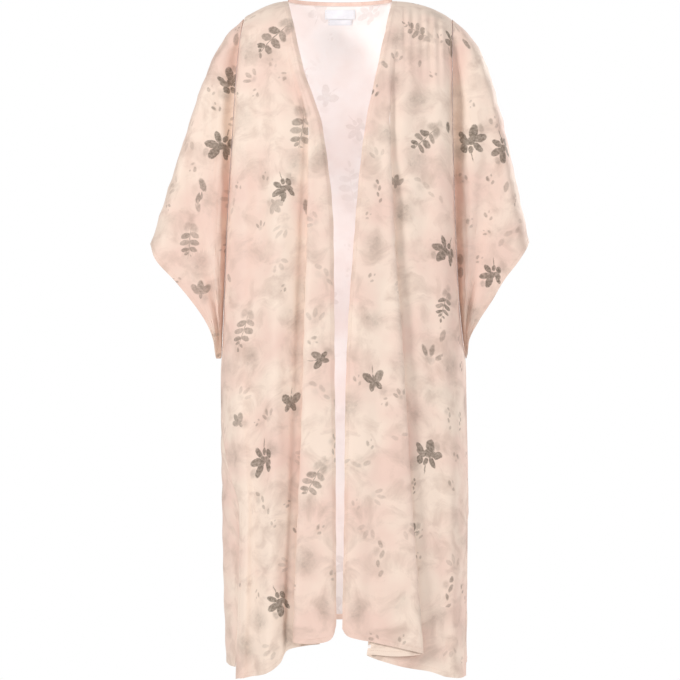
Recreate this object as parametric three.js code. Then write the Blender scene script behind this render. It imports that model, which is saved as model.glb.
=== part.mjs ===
// A knee-length kimono coat of soft printed crepe, open in front and filled out as if worn.
// Millimetres, +Z up. The front faces -Y, and the wearer's left is +X.
// The origin lies midway between the two points where the shoulder seams meet the neck.
// "drop" is a depth below the origin, and "out" a distance from the middle to the piece's own side.

import * as THREE from "three";

// Cloth and sewing
const CLOTH = 1.5;
const SEAM_GAP = 0.3;
const ALLOWANCE = 4;
const ALLOWANCE_APART = (CLOTH + SEAM_GAP) / 2 + 0.05;

// Neck and shoulders
const NECK_HALF = 88;
const NECK_SCOOP = 52;
const NECK_RISE = 2;
const SHOULDER_ROUND = 45;

// How square a level section through the coat is: 2 is an ellipse
const SQUARENESS = 2.3;

// Heights where the pieces meet
const UNDERARM = 608;
const SLIT_TOP = 860;
const ALLOWANCE_END = 631;

// Rows of a panel: over the shoulder, to the underarm, to the slit and to the hem
const ROWS = { shoulder: 5, armhole: 12, side: 6, slit: 7 };

const SIDES = {
  right: { sign: -1, shoulderTip: 163, shoulderFall: 28, shoulderBend: 1.9 },
  left: { sign: 1, shoulderTip: 190, shoulderFall: 29, shoulderBend: 2.2 },
};

// The smooth form that the cloth hangs on, a row for each height
const SECTIONS = [
  { drop: 0, right: 200, left: 214, front: 46, back: 56 },
  { drop: 60, right: 200, left: 214, front: 78, back: 75 },
  { drop: 150, right: 200, left: 214, front: 104, back: 90 },
  { drop: 260, right: 200, left: 214, front: 117, back: 98 },
  { drop: 400, right: 201, left: 214, front: 122, back: 101 },
  { drop: 622, right: 202, left: 214, front: 126, back: 105 },
  { drop: 860, right: 199.5, left: 217.5, front: 131, back: 110 },
  { drop: 1130, right: 193, left: 216, front: 137, back: 118 },
];

// The armhole seams, a row for each height: how far out each lies,
// how far in front of the arm line, and how far behind it on the back
const ARMHOLES = [
  { drop: 28, right: 163, left: 190, front: 38, back: 38 },
  { drop: 120, right: 174, left: 189, front: 38, back: 42 },
  { drop: 230, right: 181, left: 190, front: 37, back: 45 },
  { drop: 400, right: 191, left: 195, front: 36, back: 42 },
  { drop: 500, right: 195, left: 200, front: 31, back: 35 },
  { drop: 560, right: 198, left: 206, front: 22, back: 24 },
  { drop: 592, right: 200, left: 211, front: 9, back: 9 },
  { drop: 608, right: 202, left: 214, front: 1.2, back: 1.2 },
];

// The side seams, which run forward to the slits. forward: how far in front of the arm line.
// Below the slit's top, the back's edge hides behind the front's: backForward and behind place it.
const SIDE_SEAMS = {
  right: [
    { drop: 608, forward: 1.2, backForward: 1.2, behind: 0 },
    { drop: 700, forward: 22, backForward: 22, behind: 0 },
    { drop: 780, forward: 55, backForward: 55, behind: 0 },
    { drop: 860, forward: 82, backForward: 82, behind: 0 },
    { drop: 892, forward: 82, backForward: 82, behind: 5 },
    { drop: 940, forward: 81, backForward: 90, behind: 8 },
    { drop: 1040, forward: 77, backForward: 77, behind: 8 },
    { drop: 1130, forward: 71, backForward: 53, behind: 8 },
  ],
  left: [
    { drop: 608, forward: 1.2, backForward: 1.2, behind: 0 },
    { drop: 700, forward: 9, backForward: 9, behind: 0 },
    { drop: 860, forward: 26, backForward: 26, behind: 0 },
    { drop: 892, forward: 28, backForward: 28, behind: 5 },
    { drop: 940, forward: 30, backForward: 42, behind: 7 },
    { drop: 1130, forward: 36, backForward: 46, behind: 7 },
  ],
};

// The fronts' fold lines, from the centre edge to the armhole. out: places at the drops OUT_AT.
// behind: how far the line lies behind the smooth form, at the drops BEHIND_AT.
// A fold's crest, lap and under lines turn back on themselves, so the cloth overlaps there.
const OUT_AT = [0, 120, 230, 400, 620, 860, 1120];
const BEHIND_AT = [50, 230, 400, 1120];
const FRONT_FOLDS = {
  right: [
    { line: "edge", out: [88, 62, 28, 11, 9, 7, 7], behind: [5, 6, 6, 6], hem: 1040, steps: 1 },
    { line: "face", out: [92, 69, 35, 19, 17, 15, 15], behind: [0, 0, 0, 0], hem: 1062, steps: 2 },
    { line: "strip", out: [94, 72, 43, 36, 38, 41, 46], behind: [0, 0, -2, -2], hem: 1069, steps: 2 },
    { line: "bend", out: [96, 75, 49, 48, 55, 62, 72], behind: [0, -1, -3, -4], hem: 1068, steps: 1 },
    { line: "crest", out: [98, 77, 53, 54, 61, 69, 79], behind: [0, 1, 1, 0], hem: 1067, steps: 1 },
    { line: "lap", out: [100, 79, 51, 50, 53, 55, 53], behind: [0, 3, 6, 6], hem: 1069, steps: 1 },
    { line: "under", out: [102, 81, 52, 46, 46, 43, 31], behind: [0, 6, 10, 10], hem: 1071, steps: 1 },
    { line: "return", out: [104, 83, 55, 52, 57, 59, 57], behind: [0, 9, 14, 15], hem: 1075, steps: 1 },
    { line: "valley", out: [107, 86, 60, 63, 72, 80, 90], behind: [0, 9, 15, 17], hem: 1085, steps: 1 },
    { line: "rise", out: [112, 93, 69, 75, 84, 90, 98], behind: [0, 5, 7, 8], hem: 1103, steps: 2 },
    { line: "ridge", out: [126, 113, 99, 102, 106, 111, 119], behind: [0, -3, -5, -6], hem: 1119, steps: 3 },
    { line: "trough", out: [142, 139, 136, 138, 146, 143, 149], behind: [1, 6, 8, 6], hem: 1130, steps: 2 },
    { line: "swell", out: [151, 153, 156, 159, 168, 153, 160], behind: [-1, -2, -3, -2], hem: 1133, steps: 2 },
    { line: "side", out: [158, 167, 173, 183, 191, 160, 169], behind: [-1, -5, -6, -2], hem: 1135, steps: 2 },
  ],
  left: [
    { line: "edge", out: [88, 63, 41, 24, 10, 7, 3], behind: [5, 6, 6, 6], hem: 1045, steps: 1 },
    { line: "face", out: [92, 69, 48, 31, 18, 15, 11], behind: [0, 0, 0, 0], hem: 1056, steps: 2 },
    { line: "strip", out: [94, 74, 58, 48, 40, 36, 30], behind: [0, 0, -2, -2], hem: 1062, steps: 2 },
    { line: "dip", out: [96, 78, 68, 67, 68, 60, 50], behind: [0, 0, 0, 4], hem: 1067, steps: 3 },
    { line: "bend", out: [98, 82, 78, 84, 98, 113, 132], behind: [0, -1, -3, -3], hem: 1086, steps: 1 },
    { line: "crest", out: [100, 85, 83, 90, 105, 120, 139], behind: [0, 1, 1, 0], hem: 1089, steps: 1 },
    { line: "lap", out: [102, 87, 81, 86, 96, 103, 95], behind: [0, 3, 6, 6], hem: 1092, steps: 1 },
    { line: "under", out: [104, 89, 82, 82, 85, 79, 39], behind: [0, 6, 10, 10], hem: 1089, steps: 1 },
    { line: "return", out: [106, 91, 85, 88, 97, 104, 96], behind: [0, 9, 14, 14], hem: 1109, steps: 1 },
    { line: "valley", out: [109, 95, 90, 98, 114, 131, 148], behind: [0, 9, 14, 14], hem: 1121, steps: 2 },
    { line: "rise", out: [120, 110, 110, 119, 136, 150, 162], behind: [1, 4, 9, 10], hem: 1126, steps: 2 },
    { line: "hollow", out: [138, 142, 143, 143, 153, 165, 174], behind: [3, 5, 6, 6], hem: 1131, steps: 2 },
    { line: "swell", out: [156, 163, 166, 168, 177, 184, 190], behind: [-2, -4, -5, -4], hem: 1134, steps: 2 },
    { line: "side", out: [178, 181, 183, 187, 200, 204, 202], behind: [0, -5, -6, -3], hem: 1137, steps: 2 },
  ],
};
const FRONT_SIDE_HEM = { right: 1137, left: 1137 };

// Small gathers that the left shoulder seam takes in
const GATHERS = { waves: 5, from: 104, to: 176, high: 1.7, topDrop: 30, endDrop: 185 };

// The back's soft folds: at: their place across from the right edge, 0, to the left one, 1
const BACK_FOLDS = [
  { at: 0.2, begins: 150, wide: 0.07, out: 7 },
  { at: 0.3, begins: 260, wide: 0.06, out: -8 },
  { at: 0.4, begins: 180, wide: 0.065, out: 7 },
  { at: 0.49, begins: 90, wide: 0.06, out: -8 },
  { at: 0.58, begins: 300, wide: 0.07, out: 8 },
  { at: 0.67, begins: 160, wide: 0.06, out: -8 },
  { at: 0.76, begins: 240, wide: 0.07, out: 7 },
  { at: 0.85, begins: 170, wide: 0.06, out: -5 },
];
const BACK_HEM = { middle: 1063, side: 1120, level: 0.15, slope: 0.55 };
const BACK_COLUMNS = { shoulder: 8, neck: 12 };

// How far down the back's columns spread out evenly
const BACK_SPREAD = 330;

// How far the back stands proud beside the armhole seam
const SEAM_RIDGE = 2;

// The sleeves: the line over the arm, then the cuff from its top to the underarm
const SLEEVES = {
  right: {
    arm: [
      { out: 163, drop: 28 },
      { out: 199, drop: 66 },
      { out: 230, drop: 131 },
      { out: 264, drop: 233 },
      { out: 297, drop: 335 },
      { out: 321, drop: 410 },
    ],
    cuff: [
      { out: 321, drop: 410 },
      { out: 308, drop: 440 },
      { out: 276, drop: 475 },
      { out: 249, drop: 508 },
      { out: 226, drop: 541 },
      { out: 213, drop: 574 },
      { out: 210, drop: 604 },
    ],
    folds: [
      { at: 0.26, wide: 0.2, out: 2.5 },
      { at: 0.5, wide: 0.2, out: -2.5 },
      { at: 0.78, wide: 0.18, out: 2 },
    ],
  },
  left: {
    arm: [
      { out: 190, drop: 29 },
      { out: 220, drop: 56 },
      { out: 245, drop: 98 },
      { out: 272, drop: 186 },
      { out: 298, drop: 301 },
      { out: 321, drop: 407 },
    ],
    cuff: [
      { out: 321, drop: 407 },
      { out: 301, drop: 439 },
      { out: 275, drop: 473 },
      { out: 255, drop: 507 },
      { out: 233, drop: 541 },
      { out: 217, drop: 574 },
      { out: 216, drop: 598 },
    ],
    folds: [
      { at: 0.2, wide: 0.16, out: 3.5 },
      { at: 0.44, wide: 0.2, out: -2.5 },
      { at: 0.74, wide: 0.2, out: 2 },
    ],
  },
};
const SLEEVE_DEPTH = 49;
const SLEEVE_COLUMNS = [0, 0.02, 0.05, 0.1, 0.18, 0.28, 0.4, 0.52, 0.64, 0.76, 0.88, 1];
const SLEEVE_EDGE = CLOTH / 2 + SEAM_GAP;
const SLEEVE_FOOT = 604;

// Binding and labels at the back neck
const BINDING = { thick: 2, tall: 6 };
const LABEL_GAP = 0.5;
const LABEL = { middle: 0, wide: 52, top: 5, tall: 15, thick: 1, columns: 6, rows: 3 };
const SIZE_TAB = { middle: 0, wide: 40, top: 20.6, tall: 9, thick: 1, columns: 5, rows: 2 };

// A smooth curve through values at rising places, with no overshoot
function through(places, values, at) {
  const last = places.length - 1;
  if (at <= places[0]) return values[0];
  if (at >= places[last]) return values[last];
  let k = 0;
  while (at > places[k + 1]) k += 1;
  const slope = (i) => (values[i + 1] - values[i]) / (places[i + 1] - places[i]);
  const tangent = (i) => {
    if (i === 0) return slope(0);
    if (i === last) return slope(last - 1);
    const before = slope(i - 1);
    const after = slope(i);
    return before * after <= 0 ? 0 : (2 * before * after) / (before + after);
  };
  const width = places[k + 1] - places[k];
  const t = (at - places[k]) / width;
  const near = (1 + 2 * t) * (1 - t) ** 2 * values[k] + t ** 2 * (3 - 2 * t) * values[k + 1];
  return near + width * (t * (1 - t) ** 2 * tangent(k) - t ** 2 * (1 - t) * tangent(k + 1));
}

const column = (rows, key) => rows.map((row) => row[key]);
const readRow = (rows, key, drop) => through(column(rows, "drop"), column(rows, key), drop);
const limited = (t) => Math.min(1, Math.max(0, t));
const rounded = (below) => Math.sqrt(1 - (1 - limited(below / SHOULDER_ROUND)) ** 2);
const easeIn = (t) => limited(t) ** 2 * (3 - 2 * limited(t));
const bell = (t) => (Math.abs(t) >= 1 ? 0 : (1 - t * t) ** 2);

function shoulderDrop(side, out) {
  const { shoulderTip, shoulderFall, shoulderBend } = SIDES[side];
  const t = Math.max(0, (out - NECK_HALF) / (shoulderTip - NECK_HALF));
  return (shoulderFall + NECK_RISE) * t ** shoulderBend - NECK_RISE;
}

// Where each row of a panel lies, for a column from its top to its hem.
// Every column passes the underarm and the slit's top on the same rows, so that seams match.
function rowDrops(top, hem) {
  const drops = [];
  for (let i = 0; i <= ROWS.shoulder; i += 1) {
    drops.push(top + SHOULDER_ROUND * (1 - Math.cos((Math.PI * i) / (2 * ROWS.shoulder))));
  }
  const stages = [
    { to: UNDERARM, rows: ROWS.armhole },
    { to: SLIT_TOP, rows: ROWS.side },
    { to: hem, rows: ROWS.slit },
  ];
  for (const { to, rows } of stages) {
    const from = drops[drops.length - 1];
    for (let i = 1; i <= rows; i += 1) drops.push(from + ((to - from) * i) / rows);
  }
  return drops;
}

// How deep the smooth form is at a place: 1 in the middle, 0 at its side
function fullness(side, out, drop) {
  const share = Math.min(1, Math.abs(out) / readRow(SECTIONS, side, drop));
  return (1 - share ** SQUARENESS) ** (1 / SQUARENESS);
}

// The line where a panel ends at its side: the armhole seam, then the side seam and the slit.
// It is drawn in by half the seam's width, where the panel has its allowance.
function sideEdge(side, drop, panel) {
  const inside = ALLOWANCE_APART * easeIn((ALLOWANCE_END - drop) / 30);
  if (drop < UNDERARM) {
    const depth = readRow(ARMHOLES, panel, drop) * rounded(drop - SIDES[side].shoulderFall);
    return { out: readRow(ARMHOLES, side, drop) - inside, depth };
  }
  const depth = readRow(SIDE_SEAMS[side], panel === "back" ? "backForward" : "forward", drop);
  const share = depth / readRow(SECTIONS, "front", drop);
  const out = readRow(SECTIONS, side, drop) * (1 - share ** SQUARENESS) ** (1 / SQUARENESS);
  return { out: out - inside, depth };
}

// Ends a line at the armhole with the allowance, which turns into the armhole.
// Where there is none, the line's last step is divided instead, so that all lines match.
function endAtSeam(line) {
  const last = line[line.length - 1];
  const before = line[line.length - 2];
  const reach = ALLOWANCE * easeIn((UNDERARM - 12 + last.z) / 50);
  if (reach < 0.5) {
    line.splice(-1, 0, last.clone().lerp(before, 0.25));
    return;
  }
  const middle = Math.min(UNDERARM - 60, Math.max(80, -last.z));
  const way = new THREE.Vector3(0, -last.y, -last.z - middle).normalize();
  line.push(last.clone().addScaledVector(way, reach));
}

function moveTowards(point, other, length) {
  const way = other.clone().sub(point);
  return point.clone().addScaledVector(way.normalize(), length);
}

// A front panel: rows down from the shoulder seam, columns from the centre edge to the side
function frontGrid(side) {
  const { sign, shoulderFall } = SIDES[side];
  const folds = FRONT_FOLDS[side];
  const foldDrops = folds.map((fold) => rowDrops(shoulderDrop(side, fold.out[0]), fold.hem));
  const seamDrops = rowDrops(shoulderFall, FRONT_SIDE_HEM[side]);
  return seamDrops.map((seamDrop, row) => {
    const points = folds.map((fold, i) => {
      const drop = foldDrops[i][row];
      const below = drop - foldDrops[i][0];
      const out = through(OUT_AT, fold.out, drop);
      const behind = through(BEHIND_AT, fold.behind, drop) * Math.min(1, below / SHOULDER_ROUND);
      const depth = readRow(SECTIONS, "front", drop) * fullness(side, out, drop) * rounded(below);
      return new THREE.Vector3(sign * out, behind - depth, -drop);
    });
    const seam = sideEdge(side, seamDrop, "front");
    points.push(new THREE.Vector3(sign * seam.out, -seam.depth, -seamDrop));
    const curve = new THREE.CatmullRomCurve3(points, false, "centripetal");
    const line = [];
    folds.forEach((fold, i) => {
      for (let step = 0; step < fold.steps; step += 1) {
        line.push(curve.getPoint((i + step / fold.steps) / folds.length));
      }
    });
    const last = points[points.length - 1];
    line.push(moveTowards(last, line[line.length - 1], SEAM_GAP / 2));
    if (side === "left") gather(line, -points[0].z);
    endAtSeam(line);
    for (const point of line) point.y -= row === 0 ? SEAM_GAP / 2 : 0;
    return line;
  });
}

function gather(line, drop) {
  const { waves, from, to, high, topDrop, endDrop } = GATHERS;
  const strength = easeIn(drop / topDrop) * (1 - easeIn((drop - topDrop) / (endDrop - topDrop)));
  for (const point of line) {
    const t = (point.x - from) / (to - from);
    if (t > 0 && t < 1) point.y += high * strength * Math.sin(2 * Math.PI * waves * t);
  }
}

// A level section of the form by angle: 0 in the middle of the back, a right angle at the side
function angleAt(side, out, drop) {
  const share = Math.min(1, out / readRow(SECTIONS, side, drop));
  return Math.asin(share ** (SQUARENESS / 2));
}

function backPoint(angle, drop, top, neckY, relief = 0) {
  const side = angle < 0 ? "right" : "left";
  const { sign } = SIDES[side];
  const across = Math.abs(Math.sin(angle)) ** (2 / SQUARENESS);
  const along = Math.sign(Math.cos(angle)) * Math.abs(Math.cos(angle)) ** (2 / SQUARENESS);
  const depth = readRow(SECTIONS, along < 0 ? "front" : "back", drop);
  const round = rounded(drop - top);
  const x = sign * across * readRow(SECTIONS, side, drop);
  const y = neckY + (depth * along - neckY) * round;
  return new THREE.Vector3(x + relief * Math.sin(angle), y + relief * Math.cos(angle), -drop);
}

function backRelief(share, drop) {
  return BACK_FOLDS.reduce((sum, fold) => {
    const strength = easeIn((drop - fold.begins) / 240);
    return sum + fold.out * strength * bell((share - fold.at) / fold.wide);
  }, 0);
}

// Where the back ends on a side, as an angle round the form. Below the underarm that is in front.
function backEdgeAngle(side, drop) {
  const { out, depth } = sideEdge(side, drop, "back");
  if (drop < UNDERARM) return angleAt(side, out, drop);
  const share = depth / readRow(SECTIONS, "front", drop);
  return Math.PI / 2 + Math.asin(share ** (SQUARENESS / 2));
}

// The columns of the back lie at steady angles, and only those near a side follow its edge
function backAngle(share, drop) {
  const aside = 2 * share - 1;
  const side = aside < 0 ? "right" : "left";
  const steady = (aside * Math.PI) / 2;
  const follow = easeIn((Math.abs(aside) - 0.5) / 0.5);
  return steady + SIDES[side].sign * (backEdgeAngle(side, drop) - Math.PI / 2) * follow;
}

const neckScoop = (x) => NECK_SCOOP * Math.sqrt(Math.max(0, 1 - (x / NECK_HALF) ** 2));

// Places of the back's columns along the top, from the right shoulder's tip to the left one's
function backTopPlaces() {
  const { shoulder, neck } = BACK_COLUMNS;
  const onShoulder = (side, i) => {
    const { sign, shoulderTip } = SIDES[side];
    return sign * (NECK_HALF + ((shoulderTip - NECK_HALF) * i) / shoulder);
  };
  const places = [];
  for (let i = shoulder; i > 0; i -= 1) places.push(onShoulder("right", i));
  for (let i = 0; i <= neck; i += 1) places.push(-NECK_HALF * Math.cos((Math.PI * i) / neck));
  for (let i = 1; i <= shoulder; i += 1) places.push(onShoulder("left", i));
  return places;
}

function backGrid() {
  const places = backTopPlaces();
  const topSide = (x) => (x < 0 ? "right" : "left");
  const topDrop = (x) => shoulderDrop(topSide(x), Math.abs(x));
  const topAngle = (x) => Math.sign(x) * angleAt(topSide(x), Math.abs(x), topDrop(x));
  const columns = places.map((x, i) => {
    const even = i / (places.length - 1);
    const hemShare = easeIn((Math.abs(2 * even - 1) - BACK_HEM.level) / BACK_HEM.slope);
    const hem = BACK_HEM.middle + (BACK_HEM.side - BACK_HEM.middle) * hemShare;
    const drops = rowDrops(topDrop(x), hem);
    return drops.map((drop) => {
      const settled = easeIn((drop - drops[0]) / BACK_SPREAD);
      const angle = topAngle(x) + (backAngle(even, drop) - topAngle(x)) * settled;
      const neckY = Math.abs(x) < NECK_HALF ? neckScoop(x) : 0;
      return backPoint(angle, drop, drops[0], neckY, backRelief(even, drop));
    });
  });
  return columns[0].map((point, row) => {
    const line = columns.map((points) => points[row]);
    if (row === 0) for (const top of line) top.y += SEAM_GAP / 2;
    for (const side of ["left", "right"]) {
      finishBackEdge(line, side);
      line.reverse();
    }
    return line;
  });
}

// The last point of a line of the back becomes the armhole seam, with its allowance,
// or the edge that hides behind the front at the slit
function finishBackEdge(line, side) {
  const { sign } = SIDES[side];
  const last = line.length - 1;
  const drop = -line[last].z;
  const seam = sideEdge(side, drop, "back");
  const seamY = drop < UNDERARM ? Math.max(seam.depth, SEAM_GAP / 2) : -seam.depth;
  line[last].set(sign * seam.out, seamY, -drop);
  const ridge = rounded(drop - SIDES[side].shoulderFall) * easeIn((UNDERARM - drop) / 60);
  line[last - 1].y += SEAM_RIDGE * ridge;
  const behind = readRow(SIDE_SEAMS[side], "behind", drop);
  const inward = new THREE.Vector3(-line[last].x, -line[last].y * 2, 0).normalize();
  line[last].addScaledVector(inward, behind);
  line[last - 1].addScaledVector(inward, behind * 0.6);
  line[last - 2].addScaledVector(inward, behind * 0.2);
  line[last] = moveTowards(line[last], line[last - 1], SEAM_GAP / 2);
  endAtSeam(line);
}

// A sleeve, one piece folded over the arm. Its rows go from the underarm behind, over the arm, to the
// underarm in front, and its columns from the armhole seam to the cuff.
function sleeveGrid(side) {
  const { sign } = SIDES[side];
  const { arm, cuff, folds } = SLEEVES[side];
  const startDrop = arm[0].drop;
  const seamAt = (w) => {
    const drop = startDrop + (SLEEVE_FOOT - startDrop) * w;
    return new THREE.Vector3(readRow(ARMHOLES, side, drop) + ALLOWANCE_APART, 0, -drop);
  };
  const curved = (points) => new THREE.CatmullRomCurve3(points, false, "centripetal");
  const flat = (place) => new THREE.Vector3(place.out, 0, -place.drop);
  const armLine = curved([seamAt(0), ...arm.slice(1).map(flat)]);
  const cuffLine = curved(cuff.map(flat));
  const cuffTip = cuffLine.getPointAt(0);
  const cuffFoot = cuffLine.getPointAt(1);
  const sheetPoint = (s, w) => {
    const across = seamAt(w).multiplyScalar(1 - s).addScaledVector(cuffLine.getPointAt(w), s);
    const foot = seamAt(1).lerp(cuffFoot, s);
    const down = armLine.getPointAt(s).multiplyScalar(1 - w).addScaledVector(foot, w);
    const top = seamAt(0).lerp(cuffTip, s);
    return across.add(down).sub(top.multiplyScalar(1 - w).addScaledVector(foot, w));
  };
  const bodyDrops = rowDrops(startDrop, UNDERARM).filter((drop) => drop < SLEEVE_FOOT);
  const shareAt = (drop) => (drop - startDrop) / (SLEEVE_FOOT - startDrop);
  const shares = [...bodyDrops, SLEEVE_FOOT].map(shareAt);
  const rows = [...shares.slice(1).map((w) => -w).reverse(), ...shares];
  return rows.map((w) => {
    const share = Math.abs(w);
    const facing = w < 0 ? 1 : -1;
    const line = SLEEVE_COLUMNS.map((s) => {
      const point = sheetPoint(s, share);
      const hang = point.distanceTo(armLine.getPointAt(s));
      const seamDepth = readRow(ARMHOLES, w < 0 ? "back" : "front", -point.z);
      const freeDepth = SLEEVE_DEPTH * Math.sqrt(Math.max(0, 1 - share ** 5));
      const depth = seamDepth + (freeDepth - seamDepth) * easeIn(s / 0.1);
      const relief = folds.reduce((sum, fold) => sum + fold.out * bell((s - fold.at) / fold.wide), 0);
      const strength = easeIn(share * 4) * easeIn((1 - share) * 5);
      const y = Math.max(SLEEVE_EDGE, (depth + relief * strength) * rounded(hang));
      return point.set(sign * point.x, share === 0 ? 0 : facing * y, point.z);
    });
    line.reverse();
    endAtSeam(line);
    return line;
  });
}

// A closed wall of cloth on a grid of points, half its thickness to each side
function wall(grid, thick) {
  const rows = grid.length;
  const columns = grid[0].length;
  const clampTo = (i, count) => Math.min(count - 1, Math.max(0, i));
  const at = (r, c) => grid[clampTo(r, rows)][clampTo(c, columns)];
  const positions = [];
  for (const way of [0.5, -0.5]) {
    for (let r = 0; r < rows; r += 1) {
      for (let c = 0; c < columns; c += 1) {
        const down = at(r + 1, c).clone().sub(at(r - 1, c));
        const before = at(r, c).clone().sub(at(r, c - 1)).normalize();
        const after = at(r, c + 1).clone().sub(at(r, c)).normalize();
        const across = before.add(after);
        const normal = down.cross(across).normalize();
        const point = at(r, c).clone().addScaledVector(normal, thick * way);
        positions.push(point.x, point.y, point.z);
      }
    }
  }
  const outer = (r, c) => r * columns + c;
  const inner = (r, c) => rows * columns + outer(r, c);
  const faces = [];
  const quad = (a, b, c, d) => faces.push(a, b, c, a, c, d);
  for (let r = 0; r + 1 < rows; r += 1) {
    for (let c = 0; c + 1 < columns; c += 1) {
      quad(outer(r, c), outer(r + 1, c), outer(r + 1, c + 1), outer(r, c + 1));
      quad(inner(r, c), inner(r, c + 1), inner(r + 1, c + 1), inner(r + 1, c));
    }
  }
  for (let r = 0; r + 1 < rows; r += 1) {
    const end = columns - 1;
    quad(outer(r, 0), inner(r, 0), inner(r + 1, 0), outer(r + 1, 0));
    quad(outer(r + 1, end), inner(r + 1, end), inner(r, end), outer(r, end));
  }
  for (let c = 0; c + 1 < columns; c += 1) {
    const end = rows - 1;
    quad(outer(0, c + 1), inner(0, c + 1), inner(0, c), outer(0, c));
    quad(outer(end, c), inner(end, c), inner(end, c + 1), outer(end, c + 1));
  }
  const geometry = new THREE.BufferGeometry();
  geometry.setAttribute("position", new THREE.Float32BufferAttribute(positions, 3));
  geometry.setIndex(volume(positions, faces) < 0 ? faces.reverse() : faces);
  geometry.computeVertexNormals();
  return geometry;
}

function volume(positions, faces) {
  const corner = (i) => new THREE.Vector3().fromArray(positions, faces[i] * 3);
  let sum = 0;
  for (let i = 0; i < faces.length; i += 3) sum += corner(i).dot(corner(i + 1).cross(corner(i + 2)));
  return sum / 6;
}

// The binding stands on the back neckline and runs on in the slope of the cloth
function bindingGrid() {
  const { tall } = BINDING;
  const { neck } = BACK_COLUMNS;
  const startAt = CLOTH / 2 + SEAM_GAP;
  const grid = [];
  for (let i = 0; i <= neck * 2; i += 1) {
    const turn = 0.06 + ((Math.PI - 0.12) * i) / (neck * 2);
    const x = -NECK_HALF * Math.cos(turn);
    const y = neckScoop(x);
    const foot = new THREE.Vector3(x, y, NECK_RISE + startAt);
    const head = new THREE.Vector3(x * 0.985, y - 2, NECK_RISE + startAt + tall);
    grid.push([foot, foot.clone().lerp(head, 0.5), head]);
  }
  return grid;
}

// A label lies on the inside of the back, made from the back's own points
function labelGrid({ middle, wide, top, tall, thick, columns, rows }) {
  const inside = CLOTH / 2 + LABEL_GAP + thick / 2;
  const surface = (x, below) => {
    const drop = below - NECK_RISE;
    const side = x < 0 ? "right" : "left";
    const angle = Math.sign(x) * angleAt(side, Math.abs(x), drop);
    return backPoint(angle, drop, -NECK_RISE, neckScoop(x));
  };
  const grid = [];
  for (let r = 0; r <= rows; r += 1) {
    const line = [];
    for (let c = 0; c <= columns; c += 1) {
      const x = middle + wide * (c / columns - 0.5);
      const below = top + (tall * r) / rows;
      const here = surface(x, below);
      const down = surface(x, below + 1).sub(surface(x, below - 1));
      const across = surface(x + 1, below).sub(surface(x - 1, below));
      const inward = across.cross(down).normalize();
      if (inward.y > 0) inward.negate();
      line.push(here.addScaledVector(inward, inside));
    }
    grid.push(line);
  }
  return grid;
}

const crepe = { color: 0xf0dccd, roughness: 0.72, metalness: 0 };
const bindingCloth = { color: 0xeacbbd, roughness: 0.7, metalness: 0 };
const labelSatin = { color: 0xf5f6fa, roughness: 0.45, metalness: 0 };

const coat = new THREE.Group();

function addPiece(name, grid, thick, look) {
  const piece = new THREE.Mesh(wall(grid, thick), new THREE.MeshStandardMaterial(look));
  piece.name = name;
  coat.add(piece);
}

addPiece("back", backGrid(), CLOTH, crepe);
for (const side of ["right", "left"]) {
  addPiece(`front_${side}`, frontGrid(side), CLOTH, crepe);
  addPiece(`sleeve_${side}`, sleeveGrid(side), CLOTH, crepe);
}
addPiece("neck_binding", bindingGrid(), BINDING.thick, bindingCloth);
addPiece("label", labelGrid(LABEL), LABEL.thick, labelSatin);
addPiece("size_tab", labelGrid(SIZE_TAB), SIZE_TAB.thick, labelSatin);

export default coat;
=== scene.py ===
# A knee-length kimono coat in soft printed crepe, open in front and filled out as if worn.
# Sizes in the tables are millimetres. The front faces -Y, and the wearer's left is +X.
# "drop" is a depth below the shoulder seams' neck ends, and "out" a distance from the middle.

import math
import random

import bpy
import numpy as np
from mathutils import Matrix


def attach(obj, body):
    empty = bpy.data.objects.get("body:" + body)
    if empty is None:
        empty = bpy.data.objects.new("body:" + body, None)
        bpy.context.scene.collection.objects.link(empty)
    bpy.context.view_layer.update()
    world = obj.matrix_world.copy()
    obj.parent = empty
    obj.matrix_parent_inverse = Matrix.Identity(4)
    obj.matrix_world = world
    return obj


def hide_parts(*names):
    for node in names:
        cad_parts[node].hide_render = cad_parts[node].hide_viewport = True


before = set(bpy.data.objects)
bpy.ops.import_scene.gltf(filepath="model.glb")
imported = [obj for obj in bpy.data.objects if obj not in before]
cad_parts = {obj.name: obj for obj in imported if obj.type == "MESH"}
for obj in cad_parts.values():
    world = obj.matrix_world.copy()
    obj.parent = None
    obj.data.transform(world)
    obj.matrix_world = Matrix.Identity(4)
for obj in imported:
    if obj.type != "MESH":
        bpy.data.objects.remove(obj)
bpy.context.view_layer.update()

MM = 0.001

# Cloth and sewing
PANEL_GAP = 0.3
ALLOWANCE = 4
ALLOWANCE_APART = 0.95
ALLOWANCE_FADE = 30
CREPE_THICK = 0.7
HEM_THICK = 1.3
HEM_WIDE = 9.0
HEM_STEP = 1.2
FAR_FROM_HEM = 200.0
BINDING_THICK = 0.45
BINDING_HALF = 0.75
BINDING_TALL = 6
BINDING_FOOT = 1.05
BINDING_LEAN = 2
BINDING_END = 0.06
BINDING_COLUMNS = 97
BINDING_ROWS = {"flat": 4, "fold": 7}
BINDING_FLAT = 0.8
BINDING_FOLD = 0.13

# Neck, shoulders and the level section's squareness
NECK_HALF = 88
NECK_SCOOP = 52
NECK_RISE = 2
SHOULDER_ROUND = 45
SQUARENESS = 2.3

# Heights where the pieces meet, and how many rows of faces lie between them
UNDERARM = 608
SLIT_TOP = 860
ALLOWANCE_END = 631
FINE = 6
ROWS = {"shoulder": 5, "armhole": 12, "side": 6, "slit": 7}
SLIT_ROW = (ROWS["shoulder"] + ROWS["armhole"] + ROWS["side"]) * FINE

SIDES = {
    "right": {"sign": -1, "tip": 163, "fall": 28, "bend": 1.9},
    "left": {"sign": 1, "tip": 190, "fall": 29, "bend": 2.2},
}

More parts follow.
